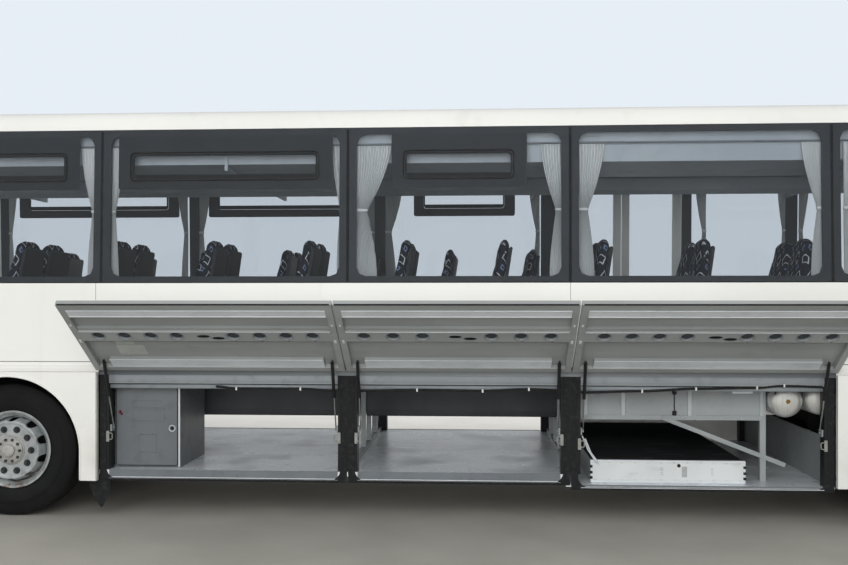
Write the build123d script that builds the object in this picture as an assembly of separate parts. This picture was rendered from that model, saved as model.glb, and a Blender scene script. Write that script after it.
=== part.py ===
from build123d import *
import math
import os

# A two-axle touring coach. Millimetres. X runs along the coach with its front at -X,
# the driver's side is -Y, Z is up, and the tyres stand on z = 0.

# Whole body
LENGTH = 13000.0
WIDTH = 2550.0
SKIRT_Z = 300.0
SILL_Z = 1830.0
CANT_Z = 3020.0
CROWN_Z = 3250.0
WALL = 42.0
ROOF_WALL = 55.0
GLASS = 6.0
GLASS_SEAT = 0.5
SEAT_GAP = 0.3

FRONT_X = -LENGTH / 2
REAR_X = LENGTH / 2
SIDE_Y = WIDTH / 2
TUMBLEHOME = 38.0
COVE_RISE = 165.0
COVE_IN = 190.0
FRONT_BOW = 130.0
REAR_BOW = 50.0
FRONT_CORNER_R = 300.0
REAR_CORNER_R = 170.0
SCREEN_RAKE = 330.0
REAR_RAKE = 110.0
MASK_TOP_Z = 1400.0
MASK_DEPTH = 340.0
PROUD = 30.0
RAKE_Z = MASK_TOP_Z - 70.0
LEAN_Z = SILL_Z - 30.0
COVE_FOOT_Z = CANT_Z + 8.0
TAIL_DEPTH = 330.0

# Axles and wheels
FRONT_AXLE_X = -3800.0
WHEELBASE = 7050.0
REAR_AXLE_X = FRONT_AXLE_X + WHEELBASE
TYRE_R = 522.0
TYRE_W = 295.0
RIM_R = 286.0
RIM_W = 224.0
RIM_FLANGE_R = 305.0
BEAD_R = RIM_FLANGE_R + 12.0
RIM_SHEET = 9.0
WHEEL_SIDES = 24
ROUND_SIDES = 16
FRONT_WHEEL_Y = 1050.0
REAR_OUTER_Y = 1085.0
DISH = 160.0
REAR_INNER_Y = REAR_OUTER_Y - 2 * DISH
HUB_DEPTH = 90.0
DRUM_R = 205.0
RUN_GAP = 0.5
KINGPIN_Y = 860.0
HUB_R = 118.0
HUB_STEP_R = 106.0
CAP_R = 50.0
NUT_RING_R = 210.0
HAND_HOLES = 10
HAND_HOLE_W = 72.0
HAND_HOLE_H = 36.0
ARCH_R = 585.0
ARCH_STEPS = 22
LINER = 8.0
LINER_IN_Y = 555.0
FRONT_HOUSE_HALF = 690.0
RAIL_Y = 430.0
RAIL_W = 80.0
RAIL_T = 12.0
RAIL_Z0 = 620.0
RAIL_Z1 = 860.0

# Floors
FLOOR_TOP_Z = 1170.0
FLOOR_T = 50.0
BAY_FLOOR_Z = 380.0
BAY_FLOOR_T = 35.0
LOW_FLOOR_Z = 302.0
LOW_FLOOR_T = 16.0

# Luggage bays: the hatches' joints along the side, front to back
BAY_X = (-3080.0, -1135.0, 565.0, 2520.0)
HATCH_GAP = 10.0
HATCH_T = 40.0
HATCH_TOP_Z = 1185.0
HINGE_Z = 1191.0
HINGE_OUT = 2.0
HATCH_OPEN = 125.0
HATCH_SKIN = 4.0
HATCH_RIM = 46.0
WALL_BOTTOM_Z = 1197.0
POST_W = 150.0
POST_IN = 52.0
POST_D = 95.0

# Gas struts of the hatches, in the plane across the hinge
STRUT_UP = 110.0
STRUT_IN = 20.0
STRUT_PIN_IN = 100.0
STRUT_PIN_DOWN = 490.0
STRUT_TUBE_R = 12.0
STRUT_ROD_R = 5.0
STRUT_TUBE_L = 300.0
EYE_R = 9.0
EYE_W = 14.0
STRUT_SIDE = 96.0

# Doors on the kerb side
DOOR_X0 = -6040.0
DOOR_X1 = -5120.0
DOOR_Z0 = 340.0
DOOR_Z1 = 2960.0
DOOR_GAP = 8.0
DOOR_T = 40.0
LIFT_DOOR_X0 = 700.0
LIFT_DOOR_X1 = 1900.0
LIFT_DOOR_Z0 = 520.0
LIFT_DOOR_Z1 = 2960.0

# Side windows: each pane's two ends, front to back
PANES_LEFT = (
    (-6120.0, -5085.0), (-5065.0, -3060.0), (-3040.0, -1140.0), (-1120.0, 550.0),
    (570.0, 2480.0), (2500.0, 4400.0), (4420.0, 6100.0))
PANES_RIGHT = (
    (-5085.0, -3060.0), (-3040.0, -1140.0), (-1120.0, 550.0),
    (1940.0, 2960.0), (2980.0, 4400.0), (4420.0, 6100.0))
PANE_LOW_Z = 1850.0
PANE_HIGH_Z = 3005.0
PILLAR_HALF = 55.0
WINDOW_R = 70.0

# Seats: each row's back, at the foot of its backrest
SEAT_ROWS_LEFT = (-4650.0, -3880.0, -3110.0, -2340.0, -1570.0, -800.0, -30.0, 740.0,
                  1510.0, 2280.0, 3050.0, 3820.0, 4590.0, 5360.0)
SEAT_ROWS_RIGHT = (-4350.0, -3580.0, -2810.0, -2040.0, -1270.0, -500.0, 270.0,
                   2700.0, 3470.0, 4240.0, 5010.0, 5780.0)
SEAT_W = 440.0
SEAT_SPLIT = 16.0
SEAT_IN_Y = 270.0
SEAT_H = 430.0
SEAT_BACK_H = 1020.0


def slab(x0, x1, y0, y1, z0, z1):
    """A block between two opposite corners."""
    middle = Pos((x0 + x1) / 2, (y0 + y1) / 2, (z0 + z1) / 2)
    return middle * Box(abs(x1 - x0), abs(y1 - y0), abs(z1 - z0))


def bar(start, end, radius, sides=8):
    """A many-sided bar from one point to another."""
    path = Vector(*end) - Vector(*start)
    plane = Plane(origin=start, z_dir=path)
    return extrude(plane * RegularPolygon(radius, sides, major_radius=False), path.length)


def pin(start, end, radius):
    """A truly round pin from one point to another."""
    path = Vector(*end) - Vector(*start)
    return Plane(origin=start, z_dir=path) * Cylinder(
        radius, path.length, align=(Align.CENTER, Align.CENTER, Align.MIN))


def strip(start, end, thick, x_dir, wide):
    """A flat bar from one point to another, wide along x_dir."""
    path = Vector(*end) - Vector(*start)
    return Plane(origin=start, x_dir=x_dir, z_dir=path) * Box(
        wide, thick, path.length, align=(Align.CENTER, Align.CENTER, Align.MIN))


def disc(x, y0, y1, z, radius, sides=ROUND_SIDES):
    """A many-sided plug along Y."""
    low, high = sorted((y0, y1))
    sketch = Plane(origin=(x, high, z), x_dir=(1, 0, 0), z_dir=(0, -1, 0)) * RegularPolygon(
        radius, sides, major_radius=False, rotation=180 / sides)
    return extrude(sketch, high - low)


def facet_ring(profile, sides):
    """A many-sided ring about the Y axis, from its section's (radius, y) corners."""
    spread = 1 / math.cos(math.pi / sides)

    def corner(spot, index):
        radius, y = spot
        angle = 2 * math.pi * (index + 0.5) / sides
        return Vector(radius * spread * math.sin(angle), y, radius * spread * math.cos(angle))

    faces = []
    for first, second in zip(profile, profile[1:] + profile[:1]):
        for index in range(sides):
            spots = [corner(first, index), corner(second, index), corner(second, index + 1),
                     corner(first, index + 1)]
            corners = [spot for n, spot in enumerate(spots) if (spot - spots[n - 1]).length > 1e-6]
            if len(corners) > 2:
                faces.append(Face(Wire.make_polygon(corners)))
    ring = Solid(Shell(faces))
    return ring if ring.volume > 0 else Solid(Shell([-face for face in faces]))


def rounded_hole(x0, x1, z0, z1, radius, y0, y1):
    """A window's cutter through a side, each corner eased by two short sides."""
    ease = radius * (1 - math.sqrt(0.5))
    middle_x, middle_z = (x0 + x1) / 2, (z0 + z1) / 2
    half_x, half_z = (x1 - x0) / 2, (z1 - z0) / 2
    corner = ((half_x, half_z - radius), (half_x - ease, half_z - ease), (half_x - radius, half_z))
    loop = [(x, z) for x, z in corner]
    loop += [(-x, z) for x, z in reversed(corner)]
    loop += [(-x, -z) for x, z in corner]
    loop += [(x, -z) for x, z in reversed(corner)]
    points = [(middle_x + x, y1, middle_z + z) for x, z in loop]
    return extrude(Face(Wire.make_polygon(points)), abs(y1 - y0), dir=(0, -1, 0))


def across(shape):
    """The same piece on the other side."""
    return mirror(shape, about=Plane.XZ)


def save(name, *shapes):
    """One sub-part as one file."""
    solids = [solid for shape in shapes for solid in shape.solids()]
    export_step(Compound(solids), f"parts/{name}.step")


def body_form(inset, roof_inset=None):
    """The coach's full outer form, or the same form set in by a wall."""
    roof_in = inset if roof_inset is None else roof_inset
    half = SIDE_Y - inset
    low = SKIRT_Z - (200.0 if inset else 0.0)
    with BuildPart() as plan:
        with BuildSketch(Plane.XY.offset(low)) as outline:
            with BuildLine():
                ThreePointArc((FRONT_X + FRONT_BOW + inset, -half), (FRONT_X + inset, 0),
                              (FRONT_X + FRONT_BOW + inset, half))
                Line((FRONT_X + FRONT_BOW + inset, half), (REAR_X - REAR_BOW - inset, half))
                ThreePointArc((REAR_X - REAR_BOW - inset, half), (REAR_X - inset, 0),
                              (REAR_X - REAR_BOW - inset, -half))
                Line((REAR_X - REAR_BOW - inset, -half), (FRONT_X + FRONT_BOW + inset, -half))
            make_face()
            fillet(outline.vertices().group_by(Axis.X)[0], FRONT_CORNER_R - inset)
            fillet(outline.vertices().group_by(Axis.X)[-1], REAR_CORNER_R - inset)
        extrude(amount=CROWN_Z)
    cant = half - TUMBLEHOME
    crown = CROWN_Z - roof_in
    cove_z = CANT_Z + COVE_RISE - roof_in
    cove_y = cant - COVE_IN * 0.28
    cove_mid_z = COVE_FOOT_Z + (cove_z - COVE_FOOT_Z) * 0.66
    with BuildPart() as section:
        with BuildSketch(Plane.YZ):
            with BuildLine():
                Polyline((-cant, COVE_FOOT_Z), (-half, LEAN_Z), (-half, low), (half, low),
                         (half, LEAN_Z), (cant, COVE_FOOT_Z))
                ThreePointArc((cant, COVE_FOOT_Z), (cove_y, cove_mid_z), (cant - COVE_IN, cove_z))
                ThreePointArc((cant - COVE_IN, cove_z), (0, crown), (COVE_IN - cant, cove_z))
                ThreePointArc((COVE_IN - cant, cove_z), (-cove_y, cove_mid_z),
                              (-cant, COVE_FOOT_Z))
            make_face()
        extrude(amount=LENGTH, both=True)
    top = CROWN_Z + 100.0
    front = FRONT_X + inset
    rear = REAR_X - inset
    with BuildPart() as side:
        with BuildSketch(Plane.XZ):
            with BuildLine():
                Polyline((front + 60, low), (front - PROUD, low + 190), (front - PROUD, RAKE_Z))
                ThreePointArc((front - PROUD, RAKE_Z),
                              (front + SCREEN_RAKE * 0.36, (RAKE_Z + CANT_Z) / 2),
                              (front + SCREEN_RAKE, CANT_Z))
                Polyline((front + SCREEN_RAKE, CANT_Z), (front + SCREEN_RAKE + 330, top),
                         (rear - REAR_RAKE - 160, top), (rear - REAR_RAKE, CANT_Z),
                         (rear + PROUD, RAKE_Z), (rear + PROUD, low + 190), (rear - 40, low),
                         (front + 60, low))
            make_face()
        extrude(amount=WIDTH, both=True)
    return plan.part & section.part & side.part


outer = body_form(0.0)
behind_glass = body_form(GLASS + GLASS_SEAT)
glass_back = body_form(GLASS)
inner = body_form(WALL, ROOF_WALL)
shell = outer - inner
glass_shell = outer - glass_back
frame_shell = behind_glass - inner

# Body regions, split where the real panels meet
SIDE_X0 = FRONT_X + MASK_DEPTH
SIDE_X1 = REAR_X - TAIL_DEPTH


def arch_block(axle_x, radius, foot_z, y0, y1):
    """A half round above the axle with straight legs below it."""
    y_low, y_high = sorted((y0, y1))
    round_top = [(axle_x + radius * math.cos(math.pi * step / ARCH_STEPS),
                  TYRE_R + radius * math.sin(math.pi * step / ARCH_STEPS))
                 for step in range(ARCH_STEPS + 1)]
    with BuildPart() as block:
        with BuildSketch(Plane.XZ.offset(-y_high)):
            with BuildLine():
                Polyline(*round_top, (axle_x - radius, foot_z), (axle_x + radius, foot_z),
                         close=True)
            make_face()
        extrude(amount=y_high - y_low)
    return block.part


def side_wall(side):
    """One flank below the windows, with its arches and hatch openings cut."""
    y0, y1 = sorted((side * (SIDE_Y - 3 * WALL), side * (SIDE_Y + 10)))
    wall = shell & slab(SIDE_X0, SIDE_X1, y0, y1, SKIRT_Z, SILL_Z)
    for axle_x in (FRONT_AXLE_X, REAR_AXLE_X):
        wall -= arch_block(axle_x, ARCH_R, SKIRT_Z - 50, y0 - 10, y1 + 10)
    last_bay = BAY_X[3] if side < 0 else BAY_X[2]
    wall -= slab(BAY_X[0] - HATCH_GAP / 2, last_bay + HATCH_GAP / 2, y0, y1,
                 SKIRT_Z - 50, WALL_BOTTOM_Z)
    if side > 0:
        wall -= slab(DOOR_X0, DOOR_X1, y0, y1, DOOR_Z0, SILL_Z + 1)
        wall -= slab(LIFT_DOOR_X0, LIFT_DOOR_X1, y0, y1, LIFT_DOOR_Z0, SILL_Z + 1)
    return wall


def window_frame(side, panes):
    """The pillars and rails behind one flank's panes."""
    y0, y1 = sorted((side * (SIDE_Y - 4 * WALL), side * (SIDE_Y + 10)))
    frame = frame_shell & slab(SIDE_X0, SIDE_X1, y0, y1, SILL_Z, CANT_Z)
    for x0, x1 in panes:
        frame -= rounded_hole(x0 + PILLAR_HALF, x1 - PILLAR_HALF, PANE_LOW_Z + 32,
                              PANE_HIGH_Z - 32, WINDOW_R, y0, y1)
    if side > 0:
        frame -= slab(DOOR_X0, DOOR_X1, y0, y1, SILL_Z - 1, DOOR_Z1)
        frame -= slab(LIFT_DOOR_X0, LIFT_DOOR_X1, y0, y1, SILL_Z - 1, LIFT_DOOR_Z1)
    return frame


def panes(side, table):
    """One flank's bonded panes."""
    y0, y1 = sorted((side * (SIDE_Y - 3 * WALL), side * (SIDE_Y + 10)))
    return [glass_shell & slab(x0, x1, y0, y1, PANE_LOW_Z - 14, PANE_HIGH_Z + 10)
            for x0, x1 in table]


side_wall_left = side_wall(-1)
side_wall_right = side_wall(1)
window_frames = [window_frame(-1, PANES_LEFT), window_frame(1, PANES_RIGHT)]

REAR_GLASS_Z0 = 1950.0
REAR_GLASS_Z1 = 2900.0
REAR_GLASS_HALF = 1000.0
rear_hole = slab(SIDE_X1, REAR_X + 50, -REAR_GLASS_HALF, REAR_GLASS_HALF,
                 REAR_GLASS_Z0, REAR_GLASS_Z1)
rear_glass = glass_shell & rear_hole
window_glass = panes(-1, PANES_LEFT) + panes(1, PANES_RIGHT) + [rear_glass]

roof_shell = shell & slab(FRONT_X - 50, REAR_X + 50, -WIDTH, WIDTH, CANT_Z, CROWN_Z + 50)
ROOF_HATCH_X = (-3300.0, 1500.0)
ROOF_HATCH_W = 700.0
ROOF_HATCH_H = 45.0
POD_X0 = 3500.0
POD_X1 = 5900.0
POD_W = 1750.0
POD_H = 150.0
roof_lids = [Pos(x, 0, CROWN_Z - 10) * Box(ROOF_HATCH_W, ROOF_HATCH_W, ROOF_HATCH_H + 10,
                                           align=(Align.CENTER, Align.CENTER, Align.MIN))
             for x in ROOF_HATCH_X]
with BuildPart() as pod_build:
    with BuildSketch(Plane.XY.offset(CROWN_Z - 40)) as pod_outline:
        with Locations(((POD_X0 + POD_X1) / 2, 0)):
            Rectangle(POD_X1 - POD_X0, POD_W)
            chamfer(pod_outline.vertices(), 120)
    extrude(amount=POD_H + 40, taper=18)
roof_units = [(pod_build.part - outer), *[lid - outer for lid in roof_lids]]

# Front: mask below the screen, bumper below the mask
BUMPER_TOP_Z = 640.0
HEADLAMP_Y0 = 560.0
HEADLAMP_Y1 = 1130.0
HEADLAMP_Z0 = 700.0
HEADLAMP_Z1 = 880.0
front_zone = slab(FRONT_X - 50, SIDE_X0, -WIDTH, WIDTH, BUMPER_TOP_Z, MASK_TOP_Z)
front_mask = shell & front_zone
front_bumper = shell & slab(FRONT_X - 50, SIDE_X0, -WIDTH, WIDTH, SKIRT_Z, BUMPER_TOP_Z)
windscreen = glass_shell & slab(FRONT_X - 50, SIDE_X0, -WIDTH, WIDTH, MASK_TOP_Z, CANT_Z)
screen_frame = frame_shell & (
    slab(SIDE_X0 - 190, SIDE_X0, -WIDTH, WIDTH, MASK_TOP_Z, CANT_Z)
    - slab(SIDE_X0 - 400, SIDE_X0 + 10, WALL - SIDE_Y + 60, SIDE_Y - WALL - 60,
           MASK_TOP_Z - 10, CANT_Z + 10))

lamp_cutters = []
for side in (-1, 1):
    y0, y1 = sorted((side * HEADLAMP_Y0, side * HEADLAMP_Y1))
    lamp_cutters.append(slab(FRONT_X - 50, SIDE_X0 - 100, y0, y1, HEADLAMP_Z0, HEADLAMP_Z1))
TAIL_LAMP_Y0 = 1010.0
TAIL_LAMP_Z = ((760.0, 980.0), (1000.0, 1220.0), (1240.0, 1340.0))
for side in (-1, 1):
    for z0, z1 in TAIL_LAMP_Z:
        y0, y1 = sorted((side * TAIL_LAMP_Y0, side * (SIDE_Y - 90)))
        lamp_cutters.append(slab(SIDE_X1 + 150, REAR_X + 50, y0, y1, z0, z1))
lamp_shell = shell - body_form(30.0)
lamps = [lamp_shell & cutter for cutter in lamp_cutters]
for cutter in lamp_cutters[:2]:
    front_mask -= cutter

# Rear: mask with the window, lamps and engine flap cut out
FLAP_Z0 = 640.0
FLAP_Z1 = 1560.0
FLAP_HALF = 900.0
FLAP_GAP = 6.0
FLAP_TOP_GAP = 14.0
FLAP_HINGE_X = REAR_X + 4.0
FLAP_HINGE_Z = FLAP_Z1 - 9.0
HINGE_PIN_R = 3.5
rear_mask = shell & slab(SIDE_X1, REAR_X + 50, -WIDTH, WIDTH, SKIRT_Z, CANT_Z)
rear_mask -= rear_hole
for cutter in lamp_cutters[2:]:
    rear_mask -= cutter
rear_mask -= slab(SIDE_X1 + 100, REAR_X + 50, -FLAP_HALF, FLAP_HALF, FLAP_Z0, FLAP_Z1)
engine_flap = (shell & slab(SIDE_X1 + 100, REAR_X + 50, FLAP_GAP - FLAP_HALF,
                            FLAP_HALF - FLAP_GAP, FLAP_Z0 + FLAP_GAP, FLAP_Z1 - FLAP_TOP_GAP))
engine_flap += slab(REAR_X - 12, FLAP_HINGE_X, -150, 150, FLAP_HINGE_Z - 14, FLAP_HINGE_Z)
engine_flap += pin((FLAP_HINGE_X, -150, FLAP_HINGE_Z), (FLAP_HINGE_X, 150, FLAP_HINGE_Z),
                   HINGE_PIN_R)

# Cabin floor in sheets round both stairwells
STEP_T = 20.0
STEP_DEPTH = 260.0
STEPS = 2
WELL_OUT_Y = SIDE_Y - WALL - 60.0
WELL_IN_Y = WELL_OUT_Y - STEP_DEPTH * STEPS
WELL_TOP_Z = FLOOR_TOP_Z - FLOOR_T
FRONT_WELL = (DOOR_X0 + 20.0, DOOR_X1 - 20.0, 380.0)
LIFT_WELL = (LIFT_DOOR_X0 - 20.0, LIFT_DOOR_X1 + 20.0, 580.0)


def stairwell(x0, x1, low_z):
    """A well of open steps behind a door on the kerb side: two cheeks, treads and risers."""
    rise = (FLOOR_TOP_Z - low_z) / (STEPS + 1)
    top_z = WELL_TOP_Z - SEAT_GAP
    pieces = [slab(x0, x0 + STEP_T, WELL_IN_Y, WELL_OUT_Y, low_z - STEP_T, top_z),
              slab(x1 - STEP_T, x1, WELL_IN_Y, WELL_OUT_Y, low_z - STEP_T, top_z)]
    inside_x0, inside_x1 = x0 + STEP_T + SEAT_GAP, x1 - STEP_T - SEAT_GAP
    for index in range(STEPS):
        step_out = WELL_OUT_Y - STEP_DEPTH * index - (SEAT_GAP if index else 0)
        step_in = WELL_OUT_Y - STEP_DEPTH * (index + 1)
        tread_z = low_z + rise * index
        pieces.append(slab(inside_x0, inside_x1, step_in, step_out, tread_z - STEP_T, tread_z))
        pieces.append(slab(inside_x0, inside_x1, step_in + SEAT_GAP, step_in + STEP_T,
                           tread_z + SEAT_GAP, tread_z + rise))
    return pieces


floor_half = SIDE_Y - WALL - SEAT_GAP
floor_form = inner & slab(FRONT_X + 420, REAR_X - 150, -floor_half, floor_half,
                          WELL_TOP_Z, FLOOR_TOP_Z)
SHEETS = (
    (FRONT_X, DOOR_X0 + 40.0, -SIDE_Y, SIDE_Y),
    (DOOR_X0 + 40.0, DOOR_X1 - 40.0, -SIDE_Y, WELL_IN_Y),
    (DOOR_X1 - 40.0, -2200.0, -SIDE_Y, SIDE_Y),
    (-2200.0, LIFT_DOOR_X0, -SIDE_Y, SIDE_Y),
    (LIFT_DOOR_X0, LIFT_DOOR_X1, -SIDE_Y, WELL_IN_Y),
    (LIFT_DOOR_X1, 4100.0, -SIDE_Y, SIDE_Y),
    (4100.0, REAR_X, -SIDE_Y, SIDE_Y))
floor_sheets = [floor_form & slab(x0 + SEAT_GAP, x1, y0, y1, 1000, 1300)
                for x0, x1, y0, y1 in SHEETS]

# Wheel housings: wide boxes over the steered wheels, half drums over the rear ones
HOUSE_TOP_Z = FLOOR_TOP_Z - FLOOR_T - SEAT_GAP
HOUSE_FOOT_Z = 330.0
HOUSE_EASE = 220.0


def eased_box(x0, x1, y0, y1, z0, z1, ease):
    """A block whose two upper long edges are eased in two steps."""
    bend = ease * 0.3
    loop = [(x0, z0), (x0, z1 - ease), (x0 + bend, z1 - bend), (x0 + ease, z1),
            (x1 - ease, z1), (x1 - bend, z1 - bend), (x1, z1 - ease), (x1, z0)]
    face = Face(Wire.make_polygon([(x, y1, z) for x, z in loop]))
    return extrude(face, y1 - y0, dir=(0, -1, 0))


def front_housing(side):
    """A housing with eased corners, long enough for the steered wheel."""
    y0, y1 = sorted((side * LINER_IN_Y, side * (SIDE_Y - WALL - SEAT_GAP)))
    x0, x1 = FRONT_AXLE_X - FRONT_HOUSE_HALF, FRONT_AXLE_X + FRONT_HOUSE_HALF
    box = eased_box(x0, x1, y0, y1, HOUSE_FOOT_Z, HOUSE_TOP_Z, HOUSE_EASE)
    inside_y = sorted((side * (LINER_IN_Y + LINER), side * (SIDE_Y + 10)))
    hollow = eased_box(x0 + LINER, x1 - LINER, *inside_y, HOUSE_FOOT_Z - 30,
                       HOUSE_TOP_Z - LINER, HOUSE_EASE - LINER)
    axle_gap = slab(FRONT_AXLE_X - 330, FRONT_AXLE_X + 330, side * (LINER_IN_Y - 20),
                    side * (LINER_IN_Y + 40), 300, 790)
    return box - hollow - axle_gap


def rear_housing(side):
    """A half drum over the twin wheels."""
    y0, y1 = side * LINER_IN_Y, side * (SIDE_Y - WALL - SEAT_GAP)
    drum = arch_block(REAR_AXLE_X, ARCH_R + LINER, HOUSE_FOOT_Z, y0, y1)
    drum -= arch_block(REAR_AXLE_X, ARCH_R, HOUSE_FOOT_Z - 50, y0 + side * LINER,
                       y1 + side * 10)
    axle_gap = slab(REAR_AXLE_X - 240, REAR_AXLE_X + 240, y0 - side * 10, y0 + side * 30,
                    300, 790)
    return drum - axle_gap


arch_liners = [make(side) for make in (front_housing, rear_housing) for side in (-1, 1)]


def tyre(y):
    """A tubeless tyre with rounded shoulders and full sidewalls."""
    half = TYRE_W / 2
    edge = [(RIM_R, RIM_W / 2 - 14), (BEAD_R, RIM_W / 2 + 4), (BEAD_R + 75, half),
            (TYRE_R - 58, half - 14), (TYRE_R, half - 42)]
    section = [(radius, -spot) for radius, spot in edge]
    section += [(radius, spot) for radius, spot in reversed(edge)]
    return Pos(0, y, 0) * facet_ring(section, WHEEL_SIDES)


RIM_SEAT = RIM_R - SEAT_GAP
RIM_WELL = RIM_SEAT - 22.0
BARREL_R = RIM_WELL - RIM_SHEET
DISC_T = 14.0


def oval_hole(radius, y0, y1):
    """A hand hole's cutter: an eight-sided oval along Y, at the top of the wheel."""
    steps = [2 * math.pi * (index + 0.5) / 8 for index in range(8)]
    points = [(HAND_HOLE_W / 2 * math.cos(step), y0, radius + HAND_HOLE_H / 2 * math.sin(step))
              for step in steps]
    return extrude(Face(Wire.make_polygon(points)), y1 - y0, dir=(0, 1, 0))


def rim(y, out, holes):
    """A pressed disc wheel: a barrel with two lips, and a dished disc, with hand holes or plain."""
    half = RIM_W / 2
    section = [(RIM_SEAT, half - 13), (RIM_WELL, 46), (RIM_WELL, -46), (RIM_SEAT, 13 - half)]
    if holes:
        section += [(RIM_FLANGE_R, -half - 1), (RIM_FLANGE_R - 6, -half - 9), (BARREL_R, -46)]
    else:
        section += [(RIM_FLANGE_R, -half - 5)]
    section += [(BARREL_R, 6), (NUT_RING_R, DISH - DISC_T), (HUB_R - 12, DISH - DISC_T),
                (HUB_R - 12, DISH), (NUT_RING_R, DISH), (BARREL_R + 4, 24)]
    if holes:
        section += [(BARREL_R, 46), (RIM_FLANGE_R - 6, half + 9), (RIM_FLANGE_R, half + 1)]
    else:
        section += [(RIM_FLANGE_R, half + 5)]
    wheel = facet_ring([(radius, out * spot) for radius, spot in section], WHEEL_SIDES)
    if holes:
        low, high = sorted((out * 20, out * (DISH + 20)))
        hole_r = (NUT_RING_R + BARREL_R) / 2 + 2
        cutter = oval_hole(hole_r, low, high)
        for index in range(HAND_HOLES):
            wheel -= Rot(0, 360 / HAND_HOLES * index, 0) * cutter
    return Pos(0, y, 0) * wheel


def front_hub(y, out):
    """The front hub through the disc: a stepped flange with a round cap eased at its edge."""
    section = [(0, DISH - HUB_DEPTH), (HUB_R, DISH - HUB_DEPTH), (HUB_R, DISH + 6),
               (HUB_STEP_R, DISH + 22), (0, DISH + 22)]
    flange = facet_ring([(radius, out * spot) for radius, spot in section], WHEEL_SIDES)
    cap = pin((0, out * (DISH + 10), 0), (0, out * FRONT_CAP, 0), CAP_R)
    cap = chamfer(cap.edges().sort_by(Axis.Y)[-1 if out > 0 else 0], CAP_EASE)
    return Pos(0, y, 0) * (flange + cap)


def place(shape, axle_x):
    """A wheel set on its axle."""
    return Pos(axle_x, 0, TYRE_R) * shape


FRONT_CAP = 205.0
CAP_EASE = 10.0
REAR_HUB_OUT = 40.0
DRUM_IN_Y = 585.0
WHEELS = []
for side, label in ((-1, "left"), (1, "right")):
    front_y = side * FRONT_WHEEL_Y
    front_rim = rim(front_y, side, True) + front_hub(front_y, side)
    outer_y, inner_y = side * REAR_OUTER_Y, side * REAR_INNER_Y
    rear_rims = rim(outer_y, -side, True) + rim(inner_y, side, False)
    rear_rims += disc(0, inner_y, outer_y + side * REAR_HUB_OUT, 0, HUB_R, WHEEL_SIDES)
    rear_rims += pin((0, outer_y, 0), (0, outer_y + side * (REAR_HUB_OUT + 18), 0),
                     HUB_STEP_R - 24)
    rear_rims += disc(0, side * DRUM_IN_Y, inner_y + side * 10, 0, DRUM_R)
    WHEELS += [
        (f"front_tyre_{label}", [place(tyre(front_y), FRONT_AXLE_X)]),
        (f"front_rim_{label}", [place(front_rim, FRONT_AXLE_X)]),
        (f"rear_tyres_{label}", [place(tyre(outer_y), REAR_AXLE_X),
                                 place(tyre(inner_y), REAR_AXLE_X)]),
        (f"rear_rims_{label}", [place(rear_rims, REAR_AXLE_X)])]


STUB_R = 65.0
KINGPIN_R = 18.0
FORK_HALF = 86.0
FORK_DEPTH = 56.0


def knuckle(side):
    """A steered stub axle with its kingpin fork, brake disc and steering arm."""
    pin_y = side * KINGPIN_Y
    fork = slab(-50, 50, pin_y - side * 50, pin_y + side * 76, -150, 150)
    fork -= slab(-80, 80, pin_y - side * 80, pin_y + side * FORK_DEPTH, -FORK_HALF, FORK_HALF)
    king = pin((0, pin_y, -FORK_HALF - 10), (0, pin_y, FORK_HALF + 10), KINGPIN_R)
    brake = disc(0, pin_y + side * 75, pin_y + side * 115, 0, 215)
    stub_end = side * (FRONT_WHEEL_Y + DISH - HUB_DEPTH - RUN_GAP)
    stub = disc(0, pin_y + side * 100, stub_end, 0, STUB_R)
    arm = slab(-40, 300, pin_y - side * 48, pin_y - side * 18, -150, -110)
    return fork + king + brake + stub + arm


def axle_beam():
    """The dropped front beam, with a round boss about each kingpin."""
    beam = slab(-50, 50, -KINGPIN_Y, KINGPIN_Y, -80, 80)
    beam -= slab(-60, 60, -KINGPIN_Y + 90, KINGPIN_Y - 90, 20, 90)
    for side in (-1, 1):
        pad_y = side * RAIL_Y
        beam += slab(-90, 90, pad_y - 60, pad_y + 60, -40, 21)
        beam += bar((0, pad_y, 21), (0, pad_y, RAIL_Z0 - TYRE_R - SEAT_GAP), 75, 12)
        pin_y = side * KINGPIN_Y
        beam += bar((0, pin_y, -80), (0, pin_y, 80), 45, ROUND_SIDES)
        beam -= pin((0, pin_y, -90), (0, pin_y, 90), KINGPIN_R + RUN_GAP)
    return beam


front_axle = place(axle_beam(), FRONT_AXLE_X)
knuckles = {side: place(knuckle(side), FRONT_AXLE_X) for side in (-1, 1)}

AXLE_TUBE_R = 75.0
BANJO_R = 205.0
axle_end = DRUM_IN_Y - RUN_GAP
rear_axle = disc(0, -axle_end, axle_end, 0, AXLE_TUBE_R)
rear_axle += disc(0, -150, 150, 0, BANJO_R)
rear_axle += slab(120, 420, -60, 60, -60, 60)
for bag_x in (-300, 300):
    for side in (-1, 1):
        beam_y = side * (RAIL_Y + 5)
        rear_axle += slab(min(bag_x, 0), max(bag_x, 0), beam_y - 40, beam_y + 40, -110, -50)
        rear_axle += bar((bag_x, beam_y, -50), (bag_x, beam_y, RAIL_Z0 - TYRE_R - SEAT_GAP),
                         95, ROUND_SIDES)
rear_axle = place(rear_axle, REAR_AXLE_X)

# Chassis: one ladder ahead of the bays and one behind them
FRONT_LADDER = (FRONT_X + 110.0, BAY_X[0] - 12.0)
REAR_LADDER = (BAY_X[3] + 80.0, REAR_X - 110.0)


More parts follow.
